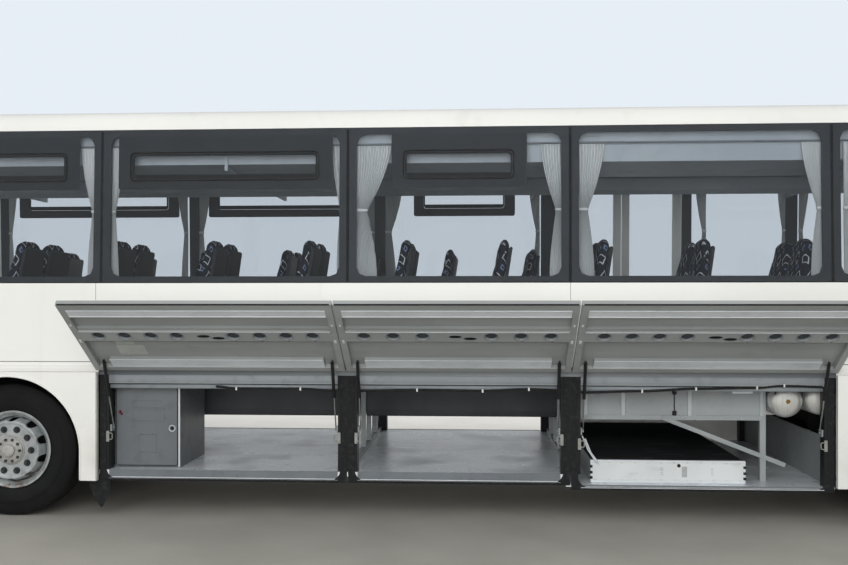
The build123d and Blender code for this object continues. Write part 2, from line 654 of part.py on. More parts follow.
def ladder(x0, x1, crossings):
    """Two channel rails, with box tubes fitted between them."""
    members = []
    for side in (-1, 1):
        y = side * RAIL_Y
        rail = slab(x0, x1, y - RAIL_W / 2, y + RAIL_W / 2, RAIL_Z0, RAIL_Z1)
        rail -= slab(x0 - 1, x1 + 1, y - side * (RAIL_W / 2 - RAIL_T),
                     y + side * (RAIL_W / 2 + 1), RAIL_Z0 + RAIL_T, RAIL_Z1 - RAIL_T)
        members.append(rail)
    reach = RAIL_Y - RAIL_W / 2 - SEAT_GAP
    members += [slab(x - 40, x + 40, -reach, reach, RAIL_Z0 + 60, RAIL_Z1 - 60) for x in crossings]
    return members


def outriggers(x, y_end, z1):
    """A bracket arm on each rail out to the flank, and a leg from the rail up to the floor."""
    members = []
    for side in (-1, 1):
        web_y = RAIL_Y - RAIL_W / 2 + RAIL_T + SEAT_GAP
        members.append(slab(x - 30, x + 30, side * web_y, side * y_end, RAIL_Z1 - 92,
                            RAIL_Z1 - RAIL_T - SEAT_GAP))
        members.append(slab(x - 30, x + 30, side * RAIL_Y - 30, side * RAIL_Y + 30,
                            RAIL_Z1 + SEAT_GAP, z1))
    return members


TOW_X = 6330.0
TOW_Z = 255.0
TOW_R = 21.0
TOW_T = 40.0
TOW_LUG_R = 55.0


def tow_eye(x):
    """A towing lug hung from the ladder's end tube, with its pin hole across."""
    lug = slab(x - TOW_LUG_R, x + TOW_LUG_R, -TOW_T / 2, TOW_T / 2, TOW_Z,
               RAIL_Z0 + 60 - SEAT_GAP)
    lug += disc(x, -TOW_T / 2, TOW_T / 2, TOW_Z, TOW_LUG_R)
    return lug - pin((x, -TOW_T, TOW_Z), (x, TOW_T, TOW_Z), TOW_R)


FLOOR_UNDER = WELL_TOP_Z - SEAT_GAP
chassis = ladder(*FRONT_LADDER, (-TOW_X, -5050.0, -4500.0, -3180.0)) + [tow_eye(-TOW_X)]
chassis += outriggers(-5050.0, 640.0, FLOOR_UNDER)
chassis += outriggers(-3140.0, LINER_IN_Y, FLOOR_UNDER)
chassis += ladder(*REAR_LADDER, (REAR_LADDER[0] + 42, 3900.0, TOW_X)) + [tow_eye(TOW_X)]
chassis += outriggers(REAR_LADDER[0] + 42, LINER_IN_Y - 20, FLOOR_UNDER)
chassis += outriggers(4300.0, SIDE_Y - WALL - SEAT_GAP, FLOOR_UNDER)

# Bays: floor sheets on bearers, the low floor under the lift, and a riser between them
bay_half = SIDE_Y - POST_IN
BEARER_HALF = 77.0
LOW_FLOOR_X = BAY_X[2] - 20.0
RISER_T = 16.0
FLOOR_SPLITS = (
    (BAY_X[0], BAY_X[1] - BEARER_HALF), (BAY_X[1] - BEARER_HALF, BAY_X[1] + BEARER_HALF),
    (BAY_X[1] + BEARER_HALF, BAY_X[2] - BEARER_HALF),
    (BAY_X[2] - BEARER_HALF, LOW_FLOOR_X - RISER_T))
bay_floors = [slab(x0 + SEAT_GAP, x1, -bay_half, bay_half, BAY_FLOOR_Z - BAY_FLOOR_T,
                   BAY_FLOOR_Z) for x0, x1 in FLOOR_SPLITS]
bay_floors.append(slab(LOW_FLOOR_X - RISER_T + SEAT_GAP, LOW_FLOOR_X, -bay_half, bay_half,
                       LOW_FLOOR_Z - LOW_FLOOR_T, BAY_FLOOR_Z))
bay_floors.append(slab(LOW_FLOOR_X + SEAT_GAP, BAY_X[3], -bay_half, bay_half,
                       LOW_FLOOR_Z - LOW_FLOOR_T, LOW_FLOOR_Z))

# Posts, head rails, end panels and two trusses
FASCIA_Z0 = 1050.0
POST_OUT_Y = SIDE_Y - POST_IN
POST_IN_Y = POST_OUT_Y - POST_D
POST_FOOT = BAY_FLOOR_Z + SEAT_GAP
LOW_FOOT = LOW_FLOOR_Z + SEAT_GAP
POST_HALF = POST_W / 2
POSTS = (
    (BAY_X[0], BAY_X[0] + POST_HALF, POST_FOOT),
    (BAY_X[1] - POST_HALF, BAY_X[1] + POST_HALF, POST_FOOT),
    (BAY_X[2] - POST_HALF, BAY_X[2] + POST_HALF, POST_FOOT),
    (BAY_X[3] - POST_HALF, BAY_X[3], LOW_FOOT))
HEAD_GAP = (LIFT_DOOR_X0 - 25.0, LIFT_DOOR_X1 + 25.0)
posts, head_rails = {}, []
for side in (-1, 1):
    for index, (x0, x1, foot) in enumerate(POSTS):
        posts[side, index] = slab(x0, x1, side * POST_IN_Y, side * POST_OUT_Y, foot, FLOOR_UNDER)
    for (_, x0, _), (x1, _, _) in zip(POSTS, POSTS[1:]):
        ends = [(x0 + SEAT_GAP, x1 - SEAT_GAP)]
        if side > 0 and x0 < HEAD_GAP[0] < x1:
            ends = [(x0 + SEAT_GAP, HEAD_GAP[0]), (HEAD_GAP[1], x1 - SEAT_GAP)]
        head_rails += [slab(a, b, side * POST_IN_Y, side * POST_OUT_Y, FASCIA_Z0, FLOOR_UNDER)
                       for a, b in ends]
END_T = 12.0
END_REACH = POST_IN_Y - SEAT_GAP
END_PANELS = ((BAY_X[0] + 8.0, POST_FOOT, FASCIA_Z0), (BAY_X[3] - 24.0, LOW_FOOT, 660.0))
end_panels = [slab(x, x + END_T, -END_REACH, END_REACH, z0, z1) for x, z0, z1 in END_PANELS]

TRUSS_X = (BAY_X[1], BAY_X[2])
TRUSS_T = 40.0
TRUSS_TOP = FASCIA_Z0 - 60
TRUSS_POSTS = (-700.0, -200.0, 200.0, 700.0)


def truss(x):
    """An open frame across the floor between two bays."""
    x0, x1 = x - TRUSS_T / 2, x + TRUSS_T / 2
    frame = slab(x0, x1, -END_REACH, END_REACH, TRUSS_TOP, TRUSS_TOP + 50)
    frame += slab(x0, x1, -END_REACH, END_REACH, POST_FOOT, BAY_FLOOR_Z + 40)
    for y in TRUSS_POSTS:
        frame += slab(x0, x1, y - 20, y + 20, BAY_FLOOR_Z + 20, FLOOR_UNDER)
    for y0, y1 in ((-1110, -710), (710, 1110)):
        frame += strip((x, y0, BAY_FLOOR_Z + 40), (x, y1, TRUSS_TOP), 30, (1, 0, 0), TRUSS_T)
    return frame


trusses = [truss(x) for x in TRUSS_X]

# A box beam over the lift, on its post, with a flat brace down to the rear
BEAM_Y0 = -1000.0
BEAM_Z0 = 770.0
BEAM_X0 = BAY_X[2] + 90.0
BEAM_X1 = 2080.0
BRACE_W = 34.0
BRACE_T = 10.0
bay_beam = slab(BEAM_X0, BEAM_X1, BEAM_Y0, BEAM_Y0 + 420, BEAM_Z0, FLOOR_UNDER)
for x0, x1 in ((BEAM_X0 + 20, 1010.0), (1050.0, 1520.0), (1560.0, BEAM_X1 - 20)):
    bay_beam -= slab(x0, x1, BEAM_Y0 - 1, BEAM_Y0 + 14, BEAM_Z0 + 34, FLOOR_UNDER - 90)
bay_beam += slab(BEAM_X1 - 45, BEAM_X1, BEAM_Y0, BEAM_Y0 + 45, LOW_FOOT, BEAM_Z0 + 1)
bay_beam += strip((1290, BEAM_Y0 - BRACE_T / 2, BEAM_Z0 + 20), (2226, BEAM_Y0 - BRACE_T / 2, 427),
                  BRACE_W, (0, 1, 0), BRACE_T)

# Long ducts overhead, in lengths between the trusses
DUCT_HALF = 190.0
DUCT_Z0 = 680.0
TRUSS_SIDE = TRUSS_T / 2 + SEAT_GAP
DUCT_ENDS = ((BAY_X[0] + 8.0 + END_T + SEAT_GAP, TRUSS_X[0] - TRUSS_SIDE),
             (TRUSS_X[0] + TRUSS_SIDE, TRUSS_X[1] - TRUSS_SIDE))
DUCT_SECTION = (
    (-DUCT_HALF, FLOOR_UNDER), (-DUCT_HALF, DUCT_Z0 + 60), (-DUCT_HALF + 18, DUCT_Z0 + 18),
    (-DUCT_HALF + 60, DUCT_Z0), (DUCT_HALF - 60, DUCT_Z0), (DUCT_HALF - 18, DUCT_Z0 + 18),
    (DUCT_HALF, DUCT_Z0 + 60), (DUCT_HALF, FLOOR_UNDER))
centre_ducts = [extrude(Face(Wire.make_polygon([(x0, y, z) for y, z in DUCT_SECTION])),
                        x1 - x0, dir=(1, 0, 0)) for x0, x1 in DUCT_ENDS]

# The cabinet stands in the first bay: a body with two proud doors
CABINET_X0 = BAY_X[0] + POST_W / 2 + 2.0
CABINET_X1 = -2480.0
CABINET_Y0 = -1110.0
CABINET_Z1 = 1030.0
DOOR_PROUD = 14.0
bay_cabinet = slab(CABINET_X0, CABINET_X1, CABINET_Y0 + DOOR_PROUD, -430, POST_FOOT, CABINET_Z1)
cabinet_mid = (CABINET_X0 + CABINET_X1) / 2
for x0, x1 in ((CABINET_X0 + 12, cabinet_mid - 3), (cabinet_mid + 3, CABINET_X1 - 12)):
    bay_cabinet += slab(x0, x1, CABINET_Y0, CABINET_Y0 + DOOR_PROUD + 1, POST_FOOT + 40,
                        CABINET_Z1 - 16)

# Two air tanks under the floor, with domed ends, the front one in a saddle
TANKS = ((2210.0, 930.0, 125.0), (2466.0, 945.0, 118.0))
TANK_Y = (-1110.0, -420.0)


def air_tank(x, z, radius):
    """A round tank along Y with eased ends."""
    y0, y1 = TANK_Y
    section = [(0, y0), (radius * 0.6, y0 + 8), (radius, y0 + 50), (radius, y1 - 50),
               (radius * 0.6, y1 - 8), (0, y1)]
    return Pos(x, 0, z) * facet_ring(section, 24)


air_tanks = [air_tank(*spot) for spot in TANKS]
tank_saddle = slab(2100, 2325, -780, -740, 790, FLOOR_UNDER)
tank_saddle -= disc(TANKS[0][0], -790, -730, TANKS[0][1], TANKS[0][2] + SEAT_GAP, 24)
CASSETTE = (730.0, 1880.0, 1140.0, 475.0)
lift_cassette = slab(CASSETTE[0], CASSETTE[1], -CASSETTE[2], CASSETTE[2], LOW_FOOT, CASSETTE[3])

ENGINE = (4500.0, 5950.0, 380.0)
engine_block = slab(ENGINE[0], ENGINE[1], -ENGINE[2], ENGINE[2], RAIL_Z0 - 90, RAIL_Z1 + 220)
engine_block += slab(5000.0, 5060.0, -RAIL_Y, RAIL_Y, RAIL_Z1 + SEAT_GAP, RAIL_Z1 + 60)

# Hatches, drawn shut and then swung to where they stand
HINGE_RAIL = (1041.0, 1165.0)
HINGE_RAIL_T = 30.0
HINGE_RAIL_IN = 150.0
HOLE_RAIL = (641.0, 771.0)
HOLE_Z = 700.0
HOLE_R = 48.0
HOLE_DEPTH = 22.0
HOLE_STEP = {4: (207.0, 193.0), 3: (245.0, 211.0)}
SLOT_X = (-11.0, 95.0)
SLOT_Z = (702.0, 726.0)
SLOT_HALF = (46.0, 17.0)
LIP_POCKET = (461.0, 616.0)


def rail_hole(x, z, half_x, half_z, y_in, side):
    """An eight-sided oval pocket in a hatch's inner rail."""
    steps = [2 * math.pi * (index + 0.5) / 8 for index in range(8)]
    points = [(x + half_x * math.cos(step), y_in, z + half_z * math.sin(step)) for step in steps]
    return extrude(Face(Wire.make_polygon(points)), HOLE_DEPTH, dir=(0, side, 0))


def hatch(x0, x1, side):
    """A pressed hatch: a thin skin on a deep rim, a rail with holes, and a hinge rail."""
    y_out, y_in = side * SIDE_Y, side * (SIDE_Y - HATCH_T)
    skin_y = y_out - side * HATCH_SKIN
    z0, z1 = SKIRT_Z + 5, HATCH_TOP_Z
    rim_x0, rim_x1 = x0 + HATCH_RIM, x1 - HATCH_RIM
    pan = slab(x0, x1, y_out, y_in, z0, z1)
    pan -= slab(rim_x0, rim_x1, skin_y, y_in - side, HOLE_RAIL[1], z1 - HATCH_RIM)
    pan -= slab(rim_x0, rim_x1, skin_y, y_in - side, LIP_POCKET[0], LIP_POCKET[1])
    pan -= slab(rim_x0, rim_x1, y_out - side * 26, y_in - side, LIP_POCKET[1], HOLE_RAIL[0])
    pan += slab(x0 + HINGE_RAIL_IN, x1 - HINGE_RAIL_IN, skin_y + side,
                y_out - side * HINGE_RAIL_T, HINGE_RAIL[0], HINGE_RAIL[1])
    middle = (x0 + x1) / 2
    first, step = HOLE_STEP[4 if x1 - x0 > 1800 else 3]
    count = 4 if x1 - x0 > 1800 else 3
    for index in range(count):
        for way in (-1, 1):
            pan -= rail_hole(middle + way * (first + step * index), HOLE_Z, HOLE_R, HOLE_R,
                             y_in, side)
    for slot_x, slot_z in zip(SLOT_X, SLOT_Z):
        pan -= rail_hole(middle + slot_x, slot_z, *SLOT_HALF, y_in, side)
    pivot_y = side * (SIDE_Y + HINGE_OUT)
    pan += slab(x0 + 20, x1 - 20, y_out - side * 4, y_out, z1 - 5, HINGE_Z - 1)
    pan += pin((x0 + 20, pivot_y, HINGE_Z), (x1 - 20, pivot_y, HINGE_Z), HINGE_PIN_R)
    return pan


def swing(shape, side):
    """Turn a hatch piece from shut to standing open."""
    hinge = Axis((0, side * (SIDE_Y + HINGE_OUT), HINGE_Z), (1, 0, 0))
    return shape.rotate(hinge, side * HATCH_OPEN)


HATCH_TABLE = [(f"hatch_left_{i + 1}", -1, BAY_X[i], BAY_X[i + 1]) for i in range(3)]
HATCH_TABLE += [(f"hatch_right_{i + 1}", 1, BAY_X[i], BAY_X[i + 1]) for i in range(2)]
open_rad = math.radians(HATCH_OPEN)
# Outward and upward shares of a step down the hatch, and of a step in from its skin
along = (math.sin(open_rad), -math.cos(open_rad))
inward = (-math.cos(open_rad), -math.sin(open_rad))
hatches, tubes, rods = {}, {}, {}
for name, side, bay0, bay1 in HATCH_TABLE:
    x0, x1 = bay0 + HATCH_GAP / 2, bay1 - HATCH_GAP / 2
    hinge_y = side * (SIDE_Y + HINGE_OUT)
    hatches[name] = swing(hatch(x0, x1, side), side)
    tube_pair, rod_pair = None, None
    for x, face in ((bay0 + STRUT_SIDE, -1), (bay1 - STRUT_SIDE, 1)):
        out = along[0] * STRUT_UP + inward[0] * STRUT_IN
        up = along[1] * STRUT_UP + inward[1] * STRUT_IN
        top = Vector(x, hinge_y + side * out, HINGE_Z + up)
        foot = Vector(x, hinge_y - side * STRUT_PIN_IN, HINGE_Z - STRUT_PIN_DOWN)
        run = (foot - top).normalized()
        tube = bar(tuple(top + run * 8), tuple(top + run * STRUT_TUBE_L), STRUT_TUBE_R)
        tube -= bar(tuple(top + run * 40), tuple(top + run * (STRUT_TUBE_L + 1)),
                    STRUT_ROD_R + SEAT_GAP)
        half_eye = Vector(EYE_W / 2, 0, 0)
        eye = pin(tuple(top - half_eye), tuple(top + half_eye), EYE_R)
        tube_pair = tube + eye if tube_pair is None else tube_pair + tube + eye
        rod = bar(tuple(top + run * (STRUT_TUBE_L - 60)), tuple(foot), STRUT_ROD_R)
        rod += bar(tuple(foot - half_eye), tuple(foot + half_eye), EYE_R)
        rod_pair = rod if rod_pair is None else rod_pair + rod
        post_face = bay0 + POST_W / 2 if face < 0 else bay1 - POST_W / 2
        lug_x0, lug_x1 = sorted((post_face + face * 3, x + face * (EYE_W / 2 + 1)))
        post_index = BAY_X.index(bay0 if face < 0 else bay1)
        lug_y0, lug_y1 = sorted((foot.Y + side * 24, foot.Y - side * 40))
        bracket = slab(lug_x0, lug_x1, lug_y0, lug_y1, foot.Z - 26, foot.Z + 26)
        posts[side, post_index] += bracket
    tubes[name] = tube_pair
    rods[name] = rod_pair

# Doors on the kerb side
def door_leaf(x0, x1, z0, z1, *openings):
    """A door leaf cut from the flank's own form, with its panes set in their openings."""
    leaf = (outer - body_form(DOOR_T)) & slab(x0, x1, SIDE_Y - 200, SIDE_Y + 10, z0, z1)
    pane_form = body_form(14.0) - body_form(20.0)
    leaf_panes = []
    for hole_x0, hole_x1, hole_z0, hole_z1 in openings:
        hole = rounded_hole(hole_x0, hole_x1, hole_z0, hole_z1, 60, SIDE_Y - 200, SIDE_Y + 10)
        leaf -= hole
        leaf_panes.append(pane_form & hole)
    return leaf, leaf_panes


DOOR_RIM = 90.0
DOOR_RAIL = (1590.0, 1710.0)
DOOR_REAR_GAP = 16.0
front_leaf, front_leaf_glass = door_leaf(
    DOOR_X0 + DOOR_GAP, DOOR_X1 - DOOR_REAR_GAP, DOOR_Z0 + DOOR_GAP, DOOR_Z1 - DOOR_GAP,
    (DOOR_X0 + DOOR_RIM, DOOR_X1 - DOOR_RIM - DOOR_GAP, 800, DOOR_RAIL[0]),
    (DOOR_X0 + DOOR_RIM, DOOR_X1 - DOOR_RIM - DOOR_GAP, DOOR_RAIL[1], DOOR_Z1 - 110))
lift_mid = (LIFT_DOOR_X0 + LIFT_DOOR_X1) / 2
LIFT_PIN_Z = (600.0, 1780.0)
lift_leaves = {}
for name, edge_x, way in (("front", LIFT_DOOR_X0, 1), ("rear", LIFT_DOOR_X1, -1)):
    x0, x1 = sorted((edge_x + way * DOOR_GAP, lift_mid - way * DOOR_GAP / 2))
    pane_x0, pane_x1 = sorted((edge_x + way * DOOR_RIM, lift_mid - way * 80))
    leaf, leaf_glass = door_leaf(x0, x1, LIFT_DOOR_Z0 + DOOR_GAP, LIFT_DOOR_Z1 - DOOR_GAP,
                                 (pane_x0, pane_x1, 1250, LIFT_DOOR_Z1 - 110))
    pin_x = edge_x + way * 4
    leaf += slab(pin_x, edge_x + way * (DOOR_GAP + 2), SIDE_Y - 4, SIDE_Y, *LIFT_PIN_Z)
    leaf += pin((pin_x, SIDE_Y + HINGE_OUT, LIFT_PIN_Z[0]),
                (pin_x, SIDE_Y + HINGE_OUT, LIFT_PIN_Z[1]), HINGE_PIN_R)
    lift_leaves[name] = [leaf, *leaf_glass]

# The plug door's swing arms: a pillar inside its rear edge, and two cranked arms
ARM_X = DOOR_X1 - 70.0
ARM_Y = SIDE_Y - 125.0
ARM_REACH = 430.0
PIN_SHUT_OUT = 62.0
PIN_OPEN_OUT = 165.0
ELBOW_OPEN = (25.0, 163.0)
ARM_R = 12.0
ARM_BOSS_R = 16.0
ARM_BOSS_H = 38.0
PILLAR_R = 22.0
ARM_HEIGHTS = (600.0, (DOOR_RAIL[0] + DOOR_RAIL[1]) / 2)
arm_turn = math.pi - math.asin(PIN_SHUT_OUT / ARM_REACH) - math.asin(PIN_OPEN_OUT / ARM_REACH)
elbow_x = ARM_X + ELBOW_OPEN[0] * math.cos(arm_turn) - ELBOW_OPEN[1] * math.sin(arm_turn)
elbow_y = ARM_Y + ELBOW_OPEN[0] * math.sin(arm_turn) + ELBOW_OPEN[1] * math.cos(arm_turn)
PIN_X = ARM_X - math.sqrt(ARM_REACH ** 2 - PIN_SHUT_OUT ** 2)
PIN_Y = ARM_Y + PIN_SHUT_OUT
front_arm = pin((ARM_X, ARM_Y, 385.0), (ARM_X, ARM_Y, ARM_HEIGHTS[1] + 60), PILLAR_R)
for z in ARM_HEIGHTS:
    half_boss = ARM_BOSS_H / 2
    front_arm += bar((ARM_X, ARM_Y, z), (elbow_x, elbow_y, z), ARM_R)
    front_arm += bar((elbow_x, elbow_y, z), (PIN_X, PIN_Y, z), ARM_R)
    front_arm += bar((elbow_x, elbow_y, z - ARM_R - 2), (elbow_x, elbow_y, z + ARM_R + 2), ARM_R)
    front_arm += pin((PIN_X, PIN_Y, z - half_boss), (PIN_X, PIN_Y, z + half_boss), ARM_BOSS_R)
    near, far = half_boss + RUN_GAP, half_boss + 12
    for z0, z1 in ((z - far, z - near), (z + near, z + far)):
        front_leaf += slab(PIN_X - 24, PIN_X + 24, PIN_Y - 22, SIDE_Y - DOOR_T + 2, z0, z1)

# Cabin
SEAT_SECTION = ((-450, SEAT_H - 110), (-460, SEAT_H - 10), (-60, SEAT_H - 30),
                (58, SEAT_BACK_H - 40), (112, SEAT_BACK_H), (150, SEAT_BACK_H - 60),
                (60, SEAT_H - 130))


def seat_pair(back_x, in_y, side):
    """Two seats on one leg frame, facing the front."""
    z = FLOOR_TOP_Z + SEAT_GAP
    solids = None
    for index in range(2):
        y1 = in_y + index * (SEAT_W + SEAT_SPLIT) + SEAT_W
        corners = [(back_x + x, y1, z + up) for x, up in SEAT_SECTION]
        piece = extrude(Face(Wire.make_polygon(corners)), SEAT_W, dir=(0, -1, 0))
        solids = piece if solids is None else solids + piece
    span = 2 * SEAT_W + SEAT_SPLIT
    solids += slab(back_x - 330, back_x - 30, in_y + 20, in_y + span - 20,
                   z + SEAT_H - 150, z + SEAT_H - 90)
    solids += slab(back_x - 260, back_x - 100, in_y + 130, in_y + 170, z, z + SEAT_H - 100)
    return solids if side > 0 else across(solids)


passenger_seats = [seat_pair(x, SEAT_IN_Y, -1) for x in SEAT_ROWS_LEFT]
passenger_seats += [seat_pair(x, SEAT_IN_Y, 1) for x in SEAT_ROWS_RIGHT]

DRIVER_X = -5330.0
driver_seat = seat_pair(DRIVER_X, 500.0, -1)
driver_seat = driver_seat & slab(DRIVER_X - 700, DRIVER_X + 400, -500 - SEAT_W, -500,
                                 FLOOR_TOP_Z, 3000)
driver_seat += slab(DRIVER_X - 330, DRIVER_X - 60, -850, -600, FLOOR_TOP_Z + SEAT_GAP,
                    FLOOR_TOP_Z + SEAT_H - 90)

DASH_X = -6060.0
dashboard = inner & slab(FRONT_X + 60, DASH_X, -1180, 1180, FLOOR_TOP_Z + SEAT_GAP, 1560)
dashboard += slab(DASH_X - 40, DASH_X + 130, -1150, -350, 1330, 1620)
dashboard -= slab(FRONT_X + 60, DASH_X - 200, 450, 1200, 900, 1600)
STEER_CENTRE = (-5820.0, -720.0, 1830.0)
STEER_BOSS = 48.0
STEER_R = 235.0
column_foot = (-5960.0, -720.0, 1590.0)
steer_dir = (Vector(*STEER_CENTRE) - Vector(*column_foot)).normalized()
column_top = Vector(*STEER_CENTRE) - steer_dir * (STEER_BOSS + RUN_GAP)
dashboard += bar(column_foot, tuple(column_top), 42)
wheel_plane = Plane(origin=STEER_CENTRE, z_dir=tuple(steer_dir))
grip = [(STEER_R + 15 * math.cos(math.pi * step / 3), 15 * math.sin(math.pi * step / 3))
        for step in range(6)]
steering_wheel = wheel_plane * Rot(90, 0, 0) * facet_ring(grip, 24)
steering_wheel += wheel_plane * Rot(90, 0, 0) * disc(0, 0, STEER_BOSS - 10, 0, 60, 12)
steering_wheel += pin(tuple(Vector(*STEER_CENTRE) - steer_dir * STEER_BOSS), STEER_CENTRE, 14)
for angle in (90, 210, 330):
    steering_wheel += wheel_plane * Rot(0, 0, angle) * Pos(STEER_R / 2 + 10, 0, -6) * Box(
        STEER_R - 20, 36, 16)

# Overhead racks with their service panel, hung from the roof
RACK_Z0 = 2700.0
racks = None
for side in (-1, 1):
    x0, x1 = (-4900.0, 6050.0)
    plane = Plane(origin=(x0, 0, 0), x_dir=(0, 1, 0), z_dir=(1, 0, 0))
    with BuildPart() as rack:
        with BuildSketch(plane):
            with BuildLine():
                Polyline((620, RACK_Z0 + 40), (660, RACK_Z0), (1130, RACK_Z0 + 60),
                         (1160, RACK_Z0 + 290), (1145, RACK_Z0 + 290), (1112, RACK_Z0 + 84),
                         (675, RACK_Z0 + 30), (640, RACK_Z0 + 66), (650, RACK_Z0 + 150),
                         (632, RACK_Z0 + 150), (620, RACK_Z0 + 40))
            make_face()
        extrude(amount=x1 - x0)
    tray = rack.part
    for x in range(-4600, 6000, 2500):
        tray += slab(x - 12, x + 12, 700, 1150, RACK_Z0 + 10, 3300) & body_form(
            WALL + SEAT_GAP, ROOF_WALL + SEAT_GAP)
    racks = across(tray) if side < 0 else tray
    if side < 0:
        left_rack = racks
racks = [left_rack, racks]

# Curtains gathered at the pillars: each one's two ends along the side
CURTAINS_LEFT = ((-5010, -4920), (-3245, -3110), (-3010, -2900), (-1262, -1170), (-1085, -803),
                 (343, 515), (632, 826), (2295, 2464), (2600, 2715), (4240, 4345), (4480, 4590))
CURTAINS_RIGHT = ((-5010, -4920), (-3230, -3120), (-3000, -2880), (-1290, -1190), (-1080, -900),
                  (370, 480), (2020, 2130), (2820, 2905), (3035, 3140), (4240, 4345),
                  (4480, 4590))
CURTAIN_Z = (1870.0, 2390.0, 2900.0)
CURTAIN_FOLD = 14.0
curtains = []
for side, table in ((-1, CURTAINS_LEFT), (1, CURTAINS_RIGHT)):
    for x0, x1 in table:
        lower = slab(x0 + CURTAIN_FOLD, x1 - CURTAIN_FOLD, 1172, 1198, CURTAIN_Z[0], CURTAIN_Z[1])
        upper = slab(x0, x1, 1156, 1184, CURTAIN_Z[1], CURTAIN_Z[2])
        curtains.append(lower + upper if side > 0 else across(lower + upper))

# Mirrors hung from cranked arms at the screen's upper corners
MIRROR_X = -6330.0
MIRROR_Y = 1370.0
mirrors = []
for side in (-1, 1):
    arm = bar((-6215, 1190, 2740), (MIRROR_X, MIRROR_Y, 2760), 16)
    arm += bar((MIRROR_X, MIRROR_Y, 2778), (MIRROR_X, MIRROR_Y, 2440), 16)
    head = Pos(MIRROR_X, MIRROR_Y + 30, 2290) * Box(90, 210, 420)
    head = chamfer(head.edges().filter_by(Axis.X), 36)
    piece = arm - body_form(-SEAT_GAP) + head
    mirrors.append(piece if side > 0 else across(piece))

os.makedirs("parts", exist_ok=True)
save("chassis_frames", *chassis)
save("luggage_floor", *bay_floors)
save("cabin_floor", *floor_sheets, *stairwell(*FRONT_WELL), *stairwell(*LIFT_WELL))
save("side_wall_left", side_wall_left)
save("side_wall_right", side_wall_right)
save("window_frames", *window_frames, screen_frame)
save("window_glass", *window_glass)
save("windscreen", windscreen)
save("roof_shell", roof_shell)
save("roof_units", *roof_units)
save("front_mask", front_mask)
save("front_bumper", front_bumper)
save("rear_mask", rear_mask)
save("engine_flap", engine_flap)
save("lamps", *lamps)
save("mirrors", *mirrors)
save("dashboard", dashboard)
save("steering_wheel", steering_wheel)
save("driver_seat", driver_seat)
save("passenger_seats", *passenger_seats)
save("racks", *racks)
save("curtains", *curtains)
save("arch_liners", *arch_liners)
save("bay_frames", *posts.values(), *head_rails, *end_panels, *trusses, bay_beam)
save("bay_cabinet", bay_cabinet)
save("centre_duct", *centre_ducts)
save("air_tanks", *air_tanks, tank_saddle)
save("lift_cassette", lift_cassette)
save("engine_block", engine_block)
save("front_axle", front_axle)
save("rear_axle", rear_axle)
save("knuckle_left", knuckles[-1])
save("knuckle_right", knuckles[1])
for name, shapes in WHEELS:
    save(name, *shapes)
for name in hatches:
    save(name, hatches[name])
    save(name.replace("hatch", "strut_tubes"), tubes[name])
    save(name.replace("hatch", "strut_rods"), rods[name])
save("front_door", front_leaf, *front_leaf_glass)
save("front_door_arm", front_arm)
for name in lift_leaves:
    save(f"lift_door_{name}", *lift_leaves[name])
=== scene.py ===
import math

import bmesh
import bpy
from mathutils import Matrix, Vector
from mathutils.bvhtree import BVHTree


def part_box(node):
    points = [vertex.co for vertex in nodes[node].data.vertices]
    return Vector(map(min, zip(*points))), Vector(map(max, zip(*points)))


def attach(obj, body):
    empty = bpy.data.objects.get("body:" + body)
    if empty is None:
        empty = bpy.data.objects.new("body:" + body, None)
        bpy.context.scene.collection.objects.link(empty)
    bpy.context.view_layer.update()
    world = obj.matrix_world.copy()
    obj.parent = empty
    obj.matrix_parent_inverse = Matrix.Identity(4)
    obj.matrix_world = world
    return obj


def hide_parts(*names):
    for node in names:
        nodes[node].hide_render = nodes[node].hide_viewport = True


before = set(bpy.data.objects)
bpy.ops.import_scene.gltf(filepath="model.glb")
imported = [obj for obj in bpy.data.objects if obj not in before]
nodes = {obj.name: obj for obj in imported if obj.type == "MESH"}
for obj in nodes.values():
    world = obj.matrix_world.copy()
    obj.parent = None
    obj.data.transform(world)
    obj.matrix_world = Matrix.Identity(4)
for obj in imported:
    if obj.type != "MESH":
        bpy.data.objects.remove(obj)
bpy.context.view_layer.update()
SIDES = ((-1, "left"), (1, "right"))


def placed(name, data):
    """A new object in the scene."""
    made = bpy.data.objects.new(name, data)
    bpy.context.scene.collection.objects.link(made)
    return made


# The viewpoint: eye height beside the driver's flank, square on to the luggage bays and turned
# a little towards the front wheel, with a normal lens raised slightly above the horizon.
PICTURE_WIDE = 848
FOCAL_PX = 960
HORIZON_DROP_PX = 17.5
EYE = (-0.12, -8.545, 1.70)
EYE_TURN = math.radians(3.34)
camera = placed("camera", bpy.data.cameras.new("camera"))
camera.data.sensor_width = 36
camera.data.lens = camera.data.sensor_width * FOCAL_PX / PICTURE_WIDE
camera.data.shift_y = HORIZON_DROP_PX / PICTURE_WIDE
camera.location = EYE
camera.rotation_euler = (math.pi / 2, 0, EYE_TURN)
bpy.context.scene.camera = camera


